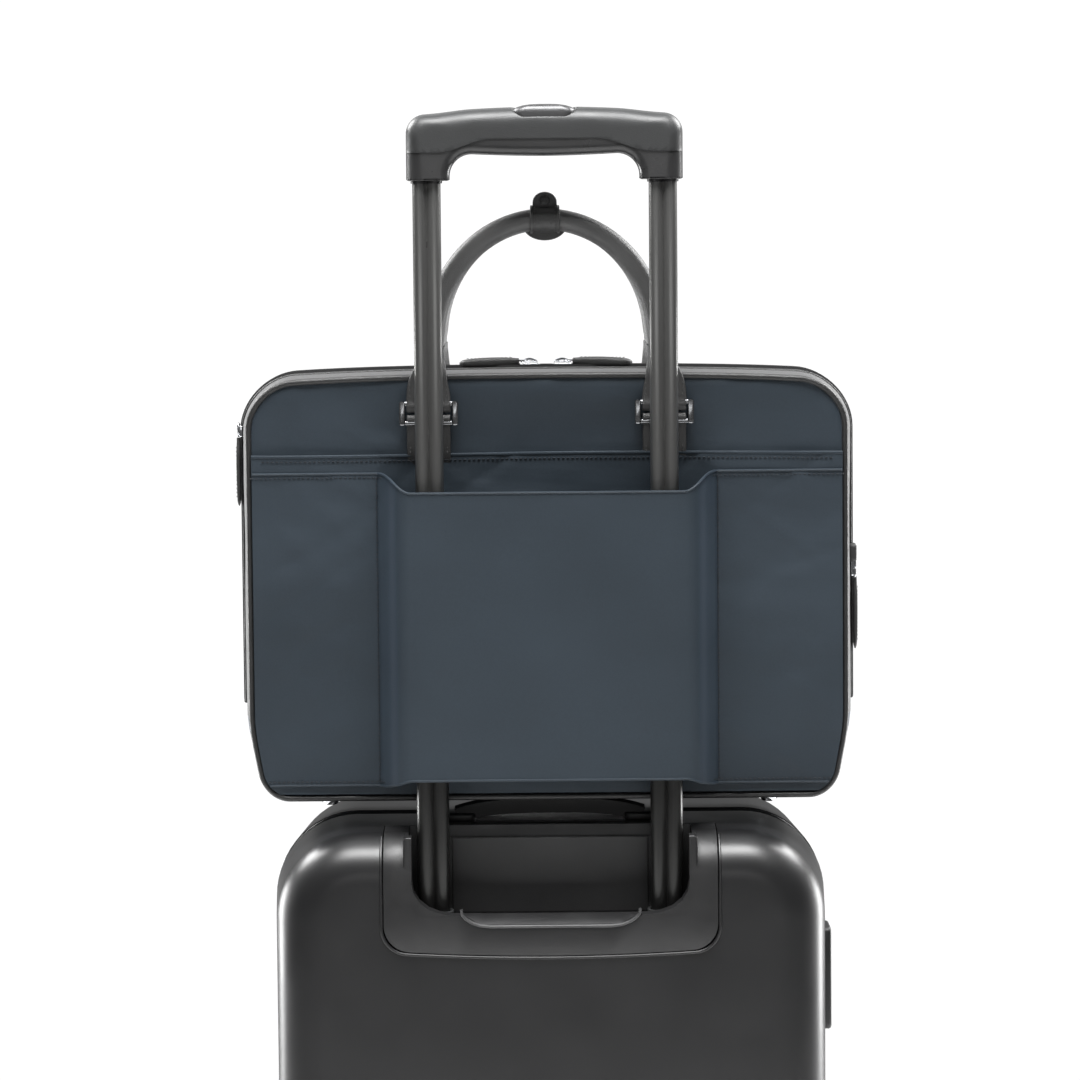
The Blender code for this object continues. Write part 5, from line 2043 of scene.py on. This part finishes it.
class CASE_OT_hard_shells(bpy.types.Operator):
    """Make the two hard shells"""

    bl_idname = "rolling_case.hard_shells"
    bl_label = "Hard shells"

    def execute(self, context):
        build_hard_shells()
        return {"FINISHED"}


class CASE_OT_case_zip(bpy.types.Operator):
    """Make the zip round the wheeled case"""

    bl_idname = "rolling_case.case_zip"
    bl_label = "Case zip"

    def execute(self, context):
        build_case_zip()
        return {"FINISHED"}


class CASE_OT_handle_housing(bpy.types.Operator):
    """Make the bezel and pocket of the telescopic handle"""

    bl_idname = "rolling_case.handle_housing"
    bl_label = "Handle housing"

    def execute(self, context):
        build_handle_housing()
        return {"FINISHED"}


class CASE_OT_telescopic_handle(bpy.types.Operator):
    """Make the telescopic tubes and the grip"""

    bl_idname = "rolling_case.telescopic_handle"
    bl_label = "Telescopic handle"

    def execute(self, context):
        build_telescopic_tubes()
        build_grip()
        return {"FINISHED"}


class CASE_OT_carry_handles(bpy.types.Operator):
    """Make the top and side carry handles and the lock"""

    bl_idname = "rolling_case.carry_handles"
    bl_label = "Carry handles and lock"

    def execute(self, context):
        build_carry_handles()
        return {"FINISHED"}


class CASE_OT_casters(bpy.types.Operator):
    """Make the four casters"""

    bl_idname = "rolling_case.casters"
    bl_label = "Casters"

    def execute(self, context):
        build_casters()
        return {"FINISHED"}


class CASE_OT_case_inside(bpy.types.Operator):
    """Make the cloth hinge and packing straps inside the wheeled case"""

    bl_idname = "rolling_case.case_inside"
    bl_label = "Inside of the wheeled case"

    def execute(self, context):
        build_case_inside()
        return {"FINISHED"}


class CASE_OT_bag_walls(bpy.types.Operator):
    """Make the cloth walls of the laptop case"""

    bl_idname = "rolling_case.bag_walls"
    bl_label = "Laptop case walls"

    def execute(self, context):
        build_bag_walls()
        return {"FINISHED"}


class CASE_OT_bag_edges(bpy.types.Operator):
    """Make the piping and the main zip of the laptop case"""

    bl_idname = "rolling_case.bag_edges"
    bl_label = "Piping and main zip"

    def execute(self, context):
        build_piping()
        build_bag_zip()
        return {"FINISHED"}


class CASE_OT_pocket_and_sleeve(bpy.types.Operator):
    """Make the back pocket and the trolley sleeve"""

    bl_idname = "rolling_case.pocket_and_sleeve"
    bl_label = "Pocket and sleeve"

    def execute(self, context):
        build_back_pocket()
        build_sleeve()
        return {"FINISHED"}


class CASE_OT_rolled_handles(bpy.types.Operator):
    """Make the rolled leather handles, their straps and rings"""

    bl_idname = "rolling_case.rolled_handles"
    bl_label = "Rolled handles"

    def execute(self, context):
        build_rolled_handles()
        build_tabs_and_rings()
        return {"FINISHED"}


class CASE_OT_small_trim(bpy.types.Operator):
    """Make the zip sliders, the side pulls and the feet"""

    bl_idname = "rolling_case.small_trim"
    bl_label = "Sliders, pulls and feet"

    def execute(self, context):
        build_zip_sliders()
        build_side_trim()
        build_bag_feet()
        return {"FINISHED"}


OPERATORS = (
    CASE_OT_materials,
    CASE_OT_stage,
    CASE_OT_hard_shells,
    CASE_OT_case_zip,
    CASE_OT_handle_housing,
    CASE_OT_telescopic_handle,
    CASE_OT_carry_handles,
    CASE_OT_casters,
    CASE_OT_case_inside,
    CASE_OT_bag_walls,
    CASE_OT_bag_edges,
    CASE_OT_pocket_and_sleeve,
    CASE_OT_rolled_handles,
    CASE_OT_small_trim,
)


class CASE_PT_panel(bpy.types.Panel):
    """The settings and the steps, in the order they run"""

    bl_idname = "CASE_PT_panel"
    bl_label = "Rolling laptop case"
    bl_space_type = "VIEW_3D"
    bl_region_type = "UI"
    bl_category = "Laptop case"

    def draw(self, context):
        for name in CaseSettings.__annotations__:
            self.layout.prop(context.scene.rolling_case, name)
        for operator in OPERATORS:
            self.layout.operator(operator.bl_idname)


CLASSES = (CaseSettings, *OPERATORS, CASE_PT_panel)


def register():
    for cls in CLASSES:
        bpy.utils.register_class(cls)
    bpy.types.Scene.rolling_case = PointerProperty(type=CaseSettings)


def unregister():
    del bpy.types.Scene.rolling_case
    for cls in reversed(CLASSES):
        bpy.utils.unregister_class(cls)


def main():
    register()
    for operator in OPERATORS:
        group, name = operator.bl_idname.split(".")
        getattr(getattr(bpy.ops, group), name)()


if __name__ == "__main__":
    main()
